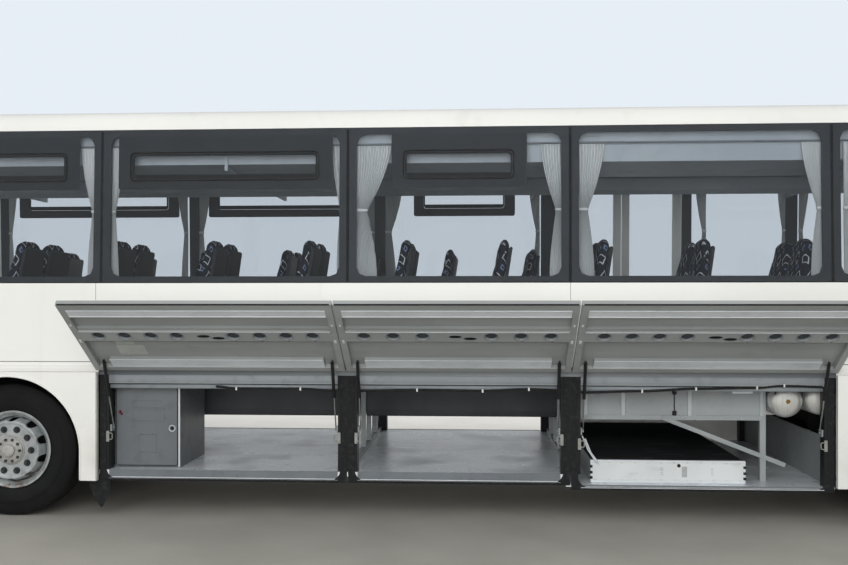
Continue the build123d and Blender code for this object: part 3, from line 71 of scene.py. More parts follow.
# Node trees written as plain sums and calls, for the finishes and for the repeats.
class Wire:
    """A socket in a node tree, so that sums on it are written as plain expressions."""

    def __init__(self, tree, socket):
        self.tree, self.socket = tree, socket

    def sum(self, operation, first, second=0.0):
        return self.tree.add("ShaderNodeMath", {"operation": operation}, {0: first, 1: second})

    def __add__(self, other):
        return self.sum("ADD", self, other)

    def __sub__(self, other):
        return self.sum("SUBTRACT", self, other)

    def __rsub__(self, other):
        return self.sum("SUBTRACT", other, self)

    def __mul__(self, other):
        return self.sum("MULTIPLY", self, other)

    def __truediv__(self, other):
        return self.sum("DIVIDE", self, other)

    __radd__ = __add__
    __rmul__ = __mul__

    def size(self):
        return self.sum("ABSOLUTE", self)

    def rise(self, low, high):
        """0 below low, 1 above high, and a smooth step between them."""
        return self.tree.add("ShaderNodeMapRange", {"interpolation_type": "SMOOTHSTEP"},
                             {0: self, 1: low, 2: high})

    def band(self, low, high, soft):
        """1 between low and high, 0 outside."""
        return self.rise(low - soft, low + soft) * (1 - self.rise(high - soft, high + soft))

    def either(self, other):
        return self.sum("MAXIMUM", self, other)


class Tree:
    """A node tree under work, for a finish or for a repeat."""

    def __init__(self, tree):
        self.tree = tree

    def add(self, kind, settings=None, values=None, out=0):
        node = self.tree.nodes.new(kind)
        for key, value in (settings or {}).items():
            setattr(node, key, value)
        for key, value in (values or {}).items():
            if isinstance(value, Wire):
                self.tree.links.new(value.socket, node.inputs[key])
            else:
                node.inputs[key].default_value = value
        return Wire(self, node.outputs[out]) if node.outputs else None

    def mixed(self, share, first, second):
        """The first colour where share is 0, the second where it is 1."""
        return self.add("ShaderNodeMix", {"data_type": "RGBA"}, {0: share, 6: first, 7: second}, 2)

    def seen_by(self, *rays):
        """1 for the kinds of ray that are named, 0 for the rest."""
        path = self.add("ShaderNodeLightPath").socket.node.outputs
        seen, *others = (Wire(self, path[f"Is {ray} Ray"]) for ray in rays)
        for other in others:
            seen = seen.either(other)
        return seen


def shade(hexed):
    """A colour as its eye value, turned into light."""
    parts = [int(hexed[i:i + 2], 16) / 255 for i in (0, 2, 4)]
    return tuple(c / 12.92 if c < 0.04045 else ((c + 0.055) / 1.055) ** 2.4 for c in parts) + (1,)


class Finish(Tree):
    """One material, mixed from patterns on the piece's own place in metres."""

    def __init__(self, name):
        self.material = bpy.data.materials.new(name)
        self.material.use_nodes = True
        super().__init__(self.material.node_tree)
        self.tree.nodes.clear()
        self.here = self.add("ShaderNodeTexCoord", out="Object")

    def axes(self):
        """X, Y and Z of the place, each as a number."""
        split = self.add("ShaderNodeSeparateXYZ", values={0: self.here}).socket.node
        return [Wire(self, split.outputs[i]) for i in range(3)]

    def stretched(self, x, y, z):
        return self.add("ShaderNodeMapping", values={0: self.here, "Scale": (x, y, z)})

    def grain(self, scale, detail=3.0, at=None, rough=0.5):
        return self.add("ShaderNodeTexNoise", values={
            "Vector": at or self.here, "Scale": scale, "Detail": detail, "Roughness": rough})

    def mottled(self, colour, other, scale, detail=3.0, at=None):
        return self.mixed(self.grain(scale, detail, at).rise(0.3, 0.7), shade(colour), shade(other))

    def skin(self, colour, rough, height=None, strength=0.2, depth=0.001, **fixed):
        """The usual surface: colour, roughness and a height for its relief."""
        values = {"Base Color": colour, "Roughness": rough}
        if height is not None:
            values["Normal"] = self.add("ShaderNodeBump", values={
                "Strength": strength, "Distance": depth, "Height": height})
        values.update({key.replace("_", " "): value for key, value in fixed.items()})
        return self.add("ShaderNodeBsdfPrincipled", values=values)

    def done(self, shader):
        self.add("ShaderNodeOutputMaterial", values={"Surface": shader})
        return self.material


# The yard under the coach: pale sealed concrete, swept clean; painted light makes it brighter beyond
# the coach, and it fades out to a white surround, under a soft overcast sky that is a little brighter
# overhead.
FLOOR_HALF = 60.0
PAINTED_LIGHT_Y = (1.5, 5.0)
FADE_OUT = (9.0, 24.0)
ground = Finish("yard_concrete")
# Painted light: the ground beyond the coach is mixed to a brighter tone than the ground near it.
ground_and_painted_light = ground.mixed(ground.axes()[1].rise(*PAINTED_LIGHT_Y),
                             ground.mottled("aaa79f", "a19e96", 1.4, 6),
                             ground.mottled("eceae4", "e4e2dc", 1.4, 6))
concrete = ground.skin(ground_and_painted_light, 0.8, ground.grain(90, 4), 0.15, 0.002)
away = ground.add("ShaderNodeVectorMath", {"operation": "LENGTH"}, {0: ground.here}, "Value")
white = ground.add("ShaderNodeEmission", values={"Color": (0.96, 0.96, 0.955, 1), "Strength": 1.0})
yard = ground.add("ShaderNodeMixShader", values={
    0: away.rise(*FADE_OUT) * ground.seen_by("Camera", "Glossy", "Transmission"),
    1: concrete, 2: white})
corners = [(x * FLOOR_HALF, y * FLOOR_HALF, 0) for x, y in ((-1, -1), (1, -1), (1, 1), (-1, 1))]
yard_mesh = bpy.data.meshes.new("yard")
yard_mesh.from_pydata(corners, [], [(0, 1, 2, 3)])
yard_mesh.materials.append(ground.done(yard))
placed("yard", yard_mesh)

SKY_LEVEL = 0.58
world = bpy.data.worlds.new("overcast")
world.use_nodes = True
bpy.context.scene.world = world
sky = Tree(world.node_tree)
world.node_tree.nodes.clear()
up = Wire(sky, sky.add("ShaderNodeSeparateXYZ", values={
    0: sky.add("ShaderNodeTexCoord", out="Generated")}).socket.node.outputs[2])
overhead = sky.mixed(up.rise(-0.1, 0.9), shade("dcdfe2"), shade("fdfeff"))
sky_light = sky.add("ShaderNodeBackground", values={0: overhead, 1: SKY_LEVEL})
sky_white = sky.add("ShaderNodeBackground", values={0: (0.80, 0.86, 0.92, 1), 1: 1.0})
sky.add("ShaderNodeOutputWorld", values={0: sky.add("ShaderNodeMixShader", values={
    0: sky.seen_by("Camera", "Transmission"), 1: sky_light, 2: sky_white})})
bpy.context.scene.view_settings.view_transform = "Standard"

AIM = Vector((0, 0, 1.2))
LAMPS = (  # name, place, size across, watts, whether gloss mirrors it
    ("near_sky", (-1.0, -14.0, 5.0), 10.0, 1300.0, False),
    ("far_sky", (2.0, 13.0, 6.5), 9.0, 800.0, False),
    ("nose_sky", (-13.0, -3.0, 6.0), 6.0, 260.0, True),
    ("tail_sky", (13.0, -2.0, 6.0), 6.0, 260.0, True))
for name, place, across, watts, mirrored in LAMPS:
    lamp = placed(name, bpy.data.lights.new(name, "AREA"))
    lamp.data.size, lamp.data.energy = across, watts
    lamp.location, lamp.visible_glossy = place, mirrored
    lamp.rotation_euler = (AIM - Vector(place)).to_track_quat("-Z", "Y").to_euler()


# The painted body: laminated panels in white two-pack paint on flanks, ends, roof, doors and
# flap, glued and riveted to the frame. Road film lies low on the flanks, rain marks run down.
def paint(painted, material):
    for node in painted:
        nodes[node].data.materials.clear()
        nodes[node].data.materials.append(material)


def white_paint(name, seams=()):
    """White paint with road film below the waist; seams are lines at a place along X or Z."""
    coat = Finish(name)
    x, y, z = coat.axes()
    base = coat.mottled("e9e9e4", "e4e4df", 0.9, 4)
    runs = coat.grain(7, 5, coat.stretched(1, 1, 0.06)).rise(0.55, 0.8)
    film = (1 - z.rise(0.3, 0.95)) * coat.grain(3, 6).rise(0.35, 0.75)
    base = coat.mixed(runs * 0.10, base, shade("a9a79c"))
    base = coat.mixed(film * 0.35, base, shade("9b968a"))
    chips = coat.grain(160, 2).rise(0.73, 0.76) * (1 - z.rise(0.3, 0.7))
    base = coat.mixed(chips * 0.5, base, shade("6d6a63"))
    relief = coat.grain(420, 1) * 0.2 + coat.grain(1.3, 1) * 6
    for axis, at, wide in seams:
        along = x if axis == "x" else z
        line = (along - at).size().rise(wide * 0.4, wide * 0.6)
        base = coat.mixed(line, shade("4a4a48"), base)
        relief = relief + line * 4
    return coat.done(coat.skin(base, 0.24 + film * 0.3, relief, 0.06, 0.004, Coat_Weight=0.35,
                               Coat_Roughness=0.08))


WAIST_SEAM_Z = 1.222
flank_paint = white_paint("flank_paint", (("z", WAIST_SEAM_Z, 0.005), ("x", 0.560, 0.003),
                                          ("x", -3.09, 0.003), ("x", -6.0, 0.003)))
body_paint = white_paint("body_paint")
paint(("side_wall_left", "side_wall_right"), flank_paint)
paint(("roof_shell", "front_mask", "front_bumper", "rear_mask", "engine_flap",
       "roof_units"), body_paint)


# Black stoved aluminium: window pillars and rails, door frames and small fittings. The doors
# are aluminium leaves in the same white with black edges.
def black_coat(name, colour="14181d", other="1c2126", rough=0.42):
    coat = Finish(name)
    wear = coat.grain(18, 5).rise(0.62, 0.8)
    base = coat.mixed(wear * 0.25, coat.mottled(colour, other, 5), shade("5d6063"))
    return coat.done(coat.skin(base, rough + wear * 0.2, coat.grain(300, 2), 0.15, 0.0008))


black_metal = black_coat("black_metal", "2f3337", "363a3e")
black_plastic = black_coat("black_plastic", "1b1c1e", "26282a", 0.55)
paint(("window_frames", "mirrors"), black_metal)


# Bonded panes: 6 mm tinted safety glass, flush with the band, on black butyl.
def pane_glass(name, tint, shine=0.02):
    coat = Finish(name)
    clear = coat.add("ShaderNodeBsdfTransparent", values={0: tint})
    dust = coat.grain(2.2, 6).rise(0.4, 0.8)
    gloss = coat.add("ShaderNodeBsdfGlossy", values={0: (0.9, 0.93, 0.95, 1), 1: shine + dust * 0.02})
    edge = coat.add("ShaderNodeFresnel", values={"IOR": 1.45})
    return coat.done(coat.add("ShaderNodeMixShader", values={0: edge, 1: clear, 2: gloss}))


side_glass = pane_glass("side_glass", (0.89, 0.90, 0.91, 1))
screen_glass = pane_glass("screen_glass", (0.82, 0.86, 0.84, 1))
paint(("window_glass",), side_glass)
paint(("windscreen",), screen_glass)


# Shapes made here are gathered in one mesh and then ride on a body of the coach.
class Stock:
    """Mesh under work: shapes are added to it, and it is then fixed to the coach."""

    def __init__(self):
        self.mesh = bmesh.new()

    def block(self, corner, other, chamfer=0.0):
        """A box between two opposite corners."""
        made = bmesh.ops.create_cube(self.mesh, size=1.0)["verts"]
        size = [abs(far - near) for near, far in zip(corner, other)]
        for vert in made:
            vert.co = Vector([at * wide for at, wide in zip(vert.co, size)])
        edges = {edge for vert in made for edge in vert.link_edges}
        if chamfer:
            made = bmesh.ops.bevel(self.mesh, geom=list(edges), offset=chamfer, segments=1,
                                   affect="EDGES", profile=0.6)["verts"]
        middle = (Vector(corner) + Vector(other)) / 2
        bmesh.ops.translate(self.mesh, vec=middle, verts=made)
        return self

    def skin(self, rows, round_rows=False, round_ring=True):
        """Faces from each row of points to the next, and back to the first row if round."""
        made = [[self.mesh.verts.new(point) for point in row] for row in rows]
        for first, second in zip(made, made[1:] + made[:1] if round_rows else made[1:]):
            for i in range(len(first) - (not round_ring)):
                j = (i + 1) % len(first)
                self.mesh.faces.new((first[i], first[j], second[j], second[i]))
        return made

    def rings(self, rows, closed=False, capped=True):
        """A skin over rows of points; each row is one closed ring."""
        made = self.skin(rows, closed)
        if capped and not closed:
            self.mesh.faces.new(made[0])
            self.mesh.faces.new(made[-1])
        return self

    def pipe(self, route, radius, sides=10, closed=False):
        """A round rod or hose along points."""
        points = [Vector(point) for point in route]
        rows, lift = [], None
        for i, point in enumerate(points):
            before = points[i - 1] if i or closed else points[0]
            after = points[(i + 1) % len(points)] if i + 1 < len(points) or closed else points[-1]
            ahead = (after - before).normalized()
            guide = lift or (Vector((0, 0, 1)) if abs(ahead.z) < 0.9 else Vector((1, 0, 0)))
            lift = (guide - ahead * guide.dot(ahead)).normalized()
            across = ahead.cross(lift)
            rows.append([point + radius * (lift * math.cos(turn) + across * math.sin(turn))
                         for turn in (2 * math.pi * k / sides for k in range(sides))])
        return self.rings(rows, closed)

    def turned(self, centre, axis, profile, sides=32):
        """A turned piece: profile gives radius and height along the axis."""
        spin = Vector(axis).normalized().to_track_quat("Z", "Y").to_matrix()
        rows = []
        for k in range(sides):
            turn = 2 * math.pi * k / sides
            rows.append([Vector(centre) + spin @ Vector((
                max(r, 1e-5) * math.cos(turn), max(r, 1e-5) * math.sin(turn), h)) for r, h in profile])
        start = len(self.mesh.verts)
        self.skin(rows, round_rows=True, round_ring=False)
        self.mesh.verts.ensure_lookup_table()
        bmesh.ops.remove_doubles(self.mesh, verts=self.mesh.verts[start:], dist=3e-5)
        return self

    def plate(self, outline, thick, y, across=0.0, up=0.0):
        """An outline in X and Z given thickness along Y, from a place."""
        return self.rings([[(u + across, at, v + up) for u, v in outline] for at in (y, y + thick)])

    def moved(self, matrix):
        bmesh.ops.transform(self.mesh, matrix=matrix, verts=self.mesh.verts)
        return self

    def closed(self, name):
        """The work as mesh data, with its faces turned outwards."""
        bmesh.ops.recalc_face_normals(self.mesh, faces=self.mesh.faces)
        data = bpy.data.meshes.new(name)
        self.mesh.to_mesh(data)
        self.mesh.free()
        return data

    def fix(self, name, material, body="root", slot=None, replaces=(), smooth=40.0):
        """Finish the mesh as one piece on a body of the coach."""
        data = self.closed(name)
        data.materials.append(material)
        piece = placed(name, data)
        if smooth:
            data.shade_smooth()
            data.set_sharp_from_angle(angle=math.radians(smooth))
        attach(piece, body)
        if replaces:
            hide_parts(*replaces)
        return piece


def eased(value, low, high):
    """0 below low, 1 above high, smooth between."""
    part = min(1.0, max(0.0, (value - low) / (high - low)))
    return part * part * (3 - 2 * part)


def outline_box(half_u, half_v, radius, steps=4):
    """A rounded rectangle's points."""
    points = []
    for quarter, (su, sv) in enumerate(((1, 1), (-1, 1), (-1, -1), (1, -1))):
        for k in range(steps + 1):
            turn = math.pi / 2 * (quarter + k / steps)
            points.append((su * (half_u - radius) + radius * math.cos(turn),
                           sv * (half_v - radius) + radius * math.sin(turn)))
    return points


# Tyres: black natural rubber, four straight wet grooves with a zigzag edge in the tread, ribs at
# the shoulder, and smooth sidewalls with a rim cushion ring, greyed by dust.
rubber = Finish("tyre_rubber")
dusty = rubber.grain(9, 6).rise(0.35, 0.8)
rubber_colour = rubber.mixed(dusty * 0.3, rubber.mottled("050607", "08090b", 4), shade("1a1918"))
tyre_rubber = rubber.done(rubber.skin(rubber_colour, 0.72, rubber.grain(260, 3), 0.25, 0.0008))

TYRE_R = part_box("front_tyre_left")[1].z / 2
AXLES = {"front": (-3.8, 1.05), "rear": (3.25, 1.085)}
WHEELS = []  # end, side, its sign, the axle's X, the outer wheel's Y, and the names of three parts
for end, (axle_x, wheel_y) in AXLES.items():
    for sign, side in SIDES:
        wheel, tyre, rim = (f"{end}_{part}{'s' * (end == 'rear')}_{side}"
                            for part in ("wheel", "tyre", "rim"))
        WHEELS.append((end, side, sign, axle_x, wheel_y, wheel, tyre, rim))
REAR_INNER_Y = 0.765
GROOVES = (-0.074, -0.026, 0.026, 0.074)
GROOVE_HALF = 0.0055
GROOVE_DEEP = 0.013
TREAD_STEPS = 132
ZIGZAG = 0.0022


def tyre_profile():
    """Half width and radius round the section, from the inner bead over the tread to the outer."""
    flange = 0.305
    side = [(-0.098, 0.2865), (-0.116, flange + 0.006), (-0.127, flange + 0.020),
            (-0.137, flange + 0.042), (-0.1432, flange + 0.072), (-0.1462, flange + 0.100),
            (-0.1462, flange + 0.108), (-0.1436, flange + 0.112), (-0.1425, flange + 0.140),
            (-0.1390, TYRE_R - 0.052), (-0.1345, TYRE_R - 0.034), (-0.1300, TYRE_R - 0.022),
            (-0.1260, TYRE_R - 0.012), (-0.1180, TYRE_R - 0.0045), (-0.1060, TYRE_R - 0.0022)]
    tread = []
    for groove in GROOVES:
        for share, deep in ((-1, 0.001), (-0.6, GROOVE_DEEP), (0.6, GROOVE_DEEP), (1, 0.001)):
            tread.append((groove + share * GROOVE_HALF, TYRE_R - deep))
    return side + tread + [(-across, radius) for across, radius in reversed(side)]


def tyre_mesh(stock, x, y):
    """One tyre: the section carried round, with the groove edges stepping from side to side."""
    rows = []
    for k in range(TREAD_STEPS):
        turn = 2 * math.pi * k / TREAD_STEPS
        step = ZIGZAG * (1 if k % 4 < 2 else -1)
        row = []
        for across, radius in tyre_profile():
            in_groove = any(abs(across - groove) <= GROOVE_HALF for groove in GROOVES)
            row.append((x + radius * math.cos(turn), y + across + (step if in_groove else 0),
                        TYRE_R + radius * math.sin(turn)))
        rows.append(row)
    stock.skin(rows, round_rows=True)


for end, side, sign, axle_x, wheel_y, body, tyre, rim in WHEELS:
    work = Stock()
    for at_y in (wheel_y, REAR_INNER_Y)[:1 + (end == "rear")]:
        tyre_mesh(work, axle_x, sign * at_y)
    work.fix(f"{tyre}_tread", tyre_rubber, body, "tyre_rubber", (tyre,), 35)


# Repeats are small geometry trees: one shape set on a ring or along a line.
class Jig(Tree):
    """A repeat built as a geometry tree, with its sizes as named inputs."""

    KINDS = {int: "NodeSocketInt", float: "NodeSocketFloat", tuple: "NodeSocketVector"}

    def __init__(self, name, **sizes):
        group = bpy.data.node_groups.new(name, "GeometryNodeTree")
        super().__init__(group)
        group.interface.new_socket(name="Made", in_out="OUTPUT", socket_type="NodeSocketGeometry")
        self.keys = {}
        for size, value in sizes.items():
            socket = group.interface.new_socket(
                name=size, in_out="INPUT", socket_type=self.KINDS[type(value)])
            socket.default_value = value
            self.keys[size] = socket.identifier
        socket = group.interface.new_socket(
            name="finish", in_out="INPUT", socket_type="NodeSocketMaterial")
        self.keys["finish"] = socket.identifier
        self.given = group.nodes.new("NodeGroupInput")

    def size(self, name):
        return Wire(self, self.given.outputs[name])

    def end(self, shape):
        solid = self.add("GeometryNodeRealizeInstances", values={0: shape})
        coated = self.add("GeometryNodeSetMaterial", values={
            "Geometry": solid, "Material": self.size("finish")})
        self.add("NodeGroupOutput", values={0: coated})
        return self

    def run(self, name, material, body, runs, slot=None, move=None):
        """Run the repeat once for each set of sizes, and fix the meshes as one plain piece."""
        whole = Stock()
        for sizes in runs:
            blank = placed("blank", bpy.data.meshes.new("blank"))
            modifier = blank.modifiers.new("repeat", "NODES")
            modifier.node_group = self.tree
            for size, value in {**sizes, "finish": material}.items():
                modifier[self.keys[size]] = value
            ready = blank.evaluated_get(bpy.context.evaluated_depsgraph_get())
            made = bpy.data.meshes.new_from_object(ready)
            blank.modifiers.remove(modifier)
            whole.mesh.from_mesh(made)
            bpy.data.objects.remove(blank)
            bpy.data.meshes.remove(made)
        if move:
            whole.moved(move)
        return whole.fix(name, material, body, slot, smooth=35)


# Wheels: pressed steel discs in silver paint, rust weeping in the lower gutter, ten hexagon nuts
# on studs, and an oil-stained cast hub with its ring of flange bolts and a round cap.
ring_jig = Jig("bolt_ring", centre=(0.0, 0.0, 0.0), count=10, ring=0.1, radius=0.01,
               length=0.01, sides=6, turn=(math.pi / 2, 0.0, 0.0))
circle = ring_jig.add("GeometryNodeMeshCircle", values={
    "Vertices": ring_jig.size("count"), "Radius": ring_jig.size("ring")})
bolt = ring_jig.add("GeometryNodeMeshCylinder", values={
    "Vertices": ring_jig.size("sides"), "Radius": ring_jig.size("radius"),
    "Depth": ring_jig.size("length")})
bolts = ring_jig.add("GeometryNodeInstanceOnPoints", values={"Points": circle, "Instance": bolt})
ring_jig.end(ring_jig.add("GeometryNodeTransform", values={
    "Geometry": bolts, "Translation": ring_jig.size("centre"), "Rotation": ring_jig.size("turn")}))

steel = Finish("wheel_silver")
x, y, z = steel.axes()
grime = steel.grain(16, 6).rise(0.42, 0.7)
silver = steel.mottled("c3c8c9", "b2b7b8", 6, 4)
silver = steel.mixed(grime * 0.4, silver, shade("6f6d67"))
gutter = 1 - z.rise(0.235, 0.33)
rust = steel.grain(26, 6).rise(0.5, 0.72) * gutter
silver = steel.mixed(rust * 0.8, silver, shade("6e4a2f"))
wheel_silver = steel.done(steel.skin(silver, 0.42 + grime * 0.2, steel.grain(200, 3), 0.12, 0.0008,
                                     Metallic=0.45))
nut_coat = Finish("nut_steel")
oily = nut_coat.grain(60, 4).rise(0.4, 0.7)
nut_colour = nut_coat.mixed(oily * 0.6, shade("55585a"), shade("2b2926"))
nut_steel = nut_coat.done(nut_coat.skin(nut_colour, 0.45, oily, 0.2, 0.0006, Metallic=0.7))

STUDS = 10
STUD_RING = 0.1675
DISC_OUT = {"front": 0.160, "rear": -0.146}
HUB_FACE = {"front": 0.182, "rear": 0.040}
HUB_RING = {"front": 0.086, "rear": 0.100}
NUT_STACK = (  # radius, how far it stands out, sides
    (0.0265, 0.004, 24), (0.0205, 0.022, 6), (0.0120, 0.033, 12))
HUB_BOLT = (0.0125, 0.018, 6)
for end, side, sign, axle_x, wheel_y, body, tyre, rim in WHEELS:
    stacks = [(DISC_OUT[end] + nut[1] / 2, STUD_RING, nut) for nut in NUT_STACK]
    stacks.append((HUB_FACE[end], HUB_RING[end], HUB_BOLT))
    ring_jig.run(f"{end}_nuts_{side}", nut_steel, body, [
        {"centre": (axle_x, sign * (wheel_y + out), TYRE_R), "count": STUDS, "ring": ring,
         "radius": radius, "length": length, "sides": sides}
        for out, ring, (radius, length, sides) in stacks], "rim_steel")


# Luggage hatches: aluminium pans, white outside and clear-lacquered grey inside, with a black
# rubber seal round the rim and a bright hinge profile along the top edge.
HINGE = (1.277, 1.191)
HATCH_OPEN = math.radians(125)
BAY_X = (-3.080, -1.135, 0.565, 2.520)


def opened(sign):
    """The turn that takes a hatch from shut to standing open."""
    hinge = Matrix.Translation((0, sign * HINGE[0], HINGE[1]))
    return hinge @ Matrix.Rotation(sign * HATCH_OPEN, 4, "X") @ hinge.inverted()


def hatch_coat(sign):
    """White on the outer skin, lacquered aluminium on every inner face."""
    coat = Finish(f"hatch_coat_{dict(SIDES)[sign]}")
    x, y, z = coat.axes()
    inward = Vector((0, -sign * math.cos(HATCH_OPEN), -math.sin(HATCH_OPEN)))
    depth = (y - sign * HINGE[0]) * inward.y + (z - HINGE[1]) * inward.z
    inside = depth.rise(0.0030, 0.0036)
    lacquer = coat.mottled("9b9f9e", "909493", 3.5, 5, coat.stretched(0.25, 2, 2))
    smear = coat.grain(5, 6).rise(0.55, 0.75)
    lacquer = coat.mixed(smear * 0.25, lacquer, shade("7f827d"))
    base = coat.mixed(inside, coat.mottled("e9e9e4", "e4e4df", 0.9, 4), lacquer)
    drawn = coat.grain(240, 2, coat.stretched(0.1, 1, 1))
    return coat.done(coat.skin(base, 0.30 + inside * 0.12, drawn, 0.08, 0.0006))


hatch_coats = {-1: hatch_coat(-1), 1: hatch_coat(1)}
HATCHES = [(f"hatch_{side}_{bay + 1}", sign, bay) for (sign, side), count in zip(SIDES, (3, 2))
           for bay in range(count)]
for node, sign, bay in HATCHES:
    paint((node,), hatch_coats[sign])

seal_coat = Finish("seal_rubber")
chalk = seal_coat.grain(30, 5).rise(0.45, 0.8)
seal_colour = seal_coat.mixed(chalk * 0.3, shade("17181a"), shade("4b4b49"))
seal_rubber = seal_coat.done(seal_coat.skin(seal_colour, 0.7, seal_coat.grain(300, 2), 0.2, 0.0006))

# Gas struts: black enamelled tubes with a ground and plated rod, ball eyes at both ends.
strut_black = black_coat("strut_enamel", "101113", "17181b", 0.3)
plate_coat = Finish("plated_rod")
plated = plate_coat.done(plate_coat.skin(plate_coat.mottled("c2c6c8", "aeb3b5", 30), 0.18,
                                         plate_coat.grain(500), 0.05, 0.0003, Metallic=0.95))
for node, sign, bay in HATCHES:
    paint((node.replace("hatch", "strut_tubes"),), strut_black)
    paint((node.replace("hatch", "strut_rods"),), plated)


# Finishes that only differ in colour, gloss and wear, and the parts that they go on.
def coat_of(name, colour, other, worn, rough, metal, scale, share=0.35):
    coat = Finish(name)
    wear = coat.grain(scale * 4, 6).rise(0.5, 0.78)
    base = coat.mixed(wear * share, coat.mottled(colour, other, scale, 4), shade(worn))
    return coat.done(coat.skin(base, rough + wear * 0.15, coat.grain(scale * 60, 3), 0.12, 0.0008,
                               Metallic=metal))


COATS = (  # name, colour, its other tone, worn colour, roughness, metal, scale, parts
    ("cabinet_grey", "6a6e71", "63676a", "545759", 0.45, 0.0, 2.5, ("bay_cabinet",)),
    ("duct_black", "424446", "4a4c4e", "595856", 0.60, 0.0, 4.0, ("centre_duct",)),
    ("tank_paint", "e4e5e2", "d6d7d3", "a5a6a2", 0.30, 0.4, 5.0, ("air_tanks",)),
    ("rack_grey", "c8d0d6", "bfc8cf", "a9b2b9", 0.50, 0.0, 2.0, ("racks",)),
    ("dash_plastic", "34373b", "2d3034", "4a4d50", 0.60, 0.0, 6.0,
     ("dashboard", "steering_wheel")),
    ("liner_black", "191a1c", "222326", "4a463f", 0.80, 0.0, 5.0, ("arch_liners",)),
    ("chassis_paint", "1c1d1e", "252627", "514a40", 0.60, 0.1, 6.0,
     ("chassis_frames", "knuckle_left", "knuckle_right", "front_axle", "rear_axle")),
    ("engine_paint", "44484b", "34373a", "2a2723", 0.50, 0.3, 7.0, ("engine_block",)),
    ("arm_grey", "9a9da0", "8e9194", "6a6c6e", 0.35, 0.6, 6.0, ("front_door_arm",)))
coats = {}
for name, colour, other, worn, rough, metal, scale, parts in COATS:
    coats[name] = coat_of(name, colour, other, worn, rough, metal, scale)
    paint(parts, coats[name])
bright_alu = coat_of("bright_aluminium", "e3e8ec", "d8dde1", "b4b8ba", 0.32, 0.25, 3.0, 0.2)
grey_alu = coat_of("grey_aluminium", "8f9599", "868c90", "6f7477", 0.42, 0.2, 3.0)
hose_black = coat_of("hose_black", "141516", "1d1e1f", "3c3b39", 0.55, 0.0, 20.0)
clip_white = coat_of("clip_white", "d8d9d6", "cfd0cd", "a3a39e", 0.50, 0.0, 30.0)
zinc = coat_of("zinc_plate", "c3c5c2", "b2b4b0", "85837c", 0.30, 0.8, 20.0)
# Flat black that stands in for shade: painted shadow in slots, grooves and gaps.
painted_shadow_black = coat_of("shadow_black", "08090a", "0c0d0e", "101112", 0.90, 0.0, 10.0)

# The bays' frame is light grey with black posts; its floor is of aluminium planks laid lengthways,
# scuffed by cases; the cabin floor is dark blue-grey lino with a grey outer edge.
frame_coat = Finish("bay_frame_coat")
x, y, z = frame_coat.axes()
post = sum(((x - at).size().band(-1.0, 0.0765, 0.0004) for at in BAY_X[1:]),
           (x - BAY_X[0]).size().band(-1.0, 0.0765, 0.0004))
post = post * y.size().rise(1.1272, 1.1276)
scuffs = frame_coat.grain(12, 6).rise(0.55, 0.75)
grey = frame_coat.mottled("989d9e", "8d9293", 2.5)
grey = frame_coat.mixed(scuffs * 0.3, grey, shade("6f7375"))
frame_colour = frame_coat.mixed(post.rise(0.4, 0.6), grey, shade("161719"))
paint(("bay_frames",), frame_coat.done(frame_coat.skin(
    frame_colour, 0.45 + scuffs * 0.15, frame_coat.grain(200, 3), 0.12, 0.0008)))

PLANK_Y = (-0.475, 0.135, 0.745)
plank_coat = Finish("plank_aluminium")
x, y, z = plank_coat.axes()
scratch = plank_coat.grain(40, 3, plank_coat.stretched(0.5, 1, 1)).rise(0.55, 0.8)
scratch = scratch.either(plank_coat.grain(60, 2, plank_coat.stretched(1, 0.2, 1)).rise(0.62, 0.7))
dirt = plank_coat.grain(2.2, 6).rise(0.45, 0.8)
planks = plank_coat.mottled("e6eaee", "dde2e6", 1.6)
planks = plank_coat.mixed(dirt * 0.35, planks, shade("85888a"))
planks = plank_coat.mixed(scratch * 0.3, planks, shade("c6c9cb"))
for at in PLANK_Y:
    seam = 1 - (y - at).size().rise(0.0012, 0.0030)
    planks = plank_coat.mixed(seam * 0.7, planks, shade("4e5154"))
paint(("luggage_floor",), plank_coat.done(plank_coat.skin(
    planks, 0.27 + dirt * 0.16, scratch, 0.12, 0.0003, Metallic=0.20)))

lino = Finish("cabin_lino")
x, y, z = lino.axes()
edge = y.size().rise(1.18, 1.182) * (1 - x.size().rise(-1, 4.9))
flecks = lino.grain(350, 1).rise(0.62, 0.66)
walked = lino.mixed(flecks * 0.5, lino.mottled("4a5056", "434950", 2.0), shade("79828a"))
lino_colour = lino.mixed(edge, walked, shade("8a8f90"))
paint(("cabin_floor",), lino.done(lino.skin(lino_colour, 0.6, flecks, 0.1, 0.0004)))

# The lift's cassette: a white-coated aluminium tray with a worn black grip deck on top.
deck = Finish("cassette_coat")
x, y, z = deck.axes()
top = z.rise(0.4735, 0.4745)
grit = deck.grain(420, 2).rise(0.4, 0.6)
scrape = deck.grain(9, 6, deck.stretched(0.4, 1, 1)).rise(0.56, 0.7)
tray = deck.mixed(scrape * 0.35, deck.mottled("d6d9d9", "cacdcd", 2.0), shade("9b9e9e"))
mat = deck.mixed(scrape * 0.35, deck.mixed(grit, shade("141517"), shade("232426")), shade("5e6061"))
paint(("lift_cassette",), deck.done(deck.skin(
    deck.mixed(top, tray, mat), 0.42 + top * 0.35, grit * top, 0.4, 0.001)))

# Lamps: clear lenses at the front; red, amber and clear blocks at the rear.
lens = Finish("lamp_lens")
x, y, z = lens.axes()
ribs = lens.grain(1.0, 0, lens.stretched(1, 60, 60)) * 0.2
rear = x.rise(0.0, 0.1)
red = lens.mixed(z.rise(0.988, 0.992), shade("8c0e12"), shade("b3520c"))
red = lens.mixed(z.rise(1.228, 1.232), red, shade("b9bcbd"))
lamp_colour = lens.mixed(rear, shade("aab4ba"), red)
paint(("lamps",), lens.done(lens.skin(lamp_colour, 0.08, ribs, 0.3, 0.002, Coat_Weight=0.8,
                                      Metallic=0.1)))


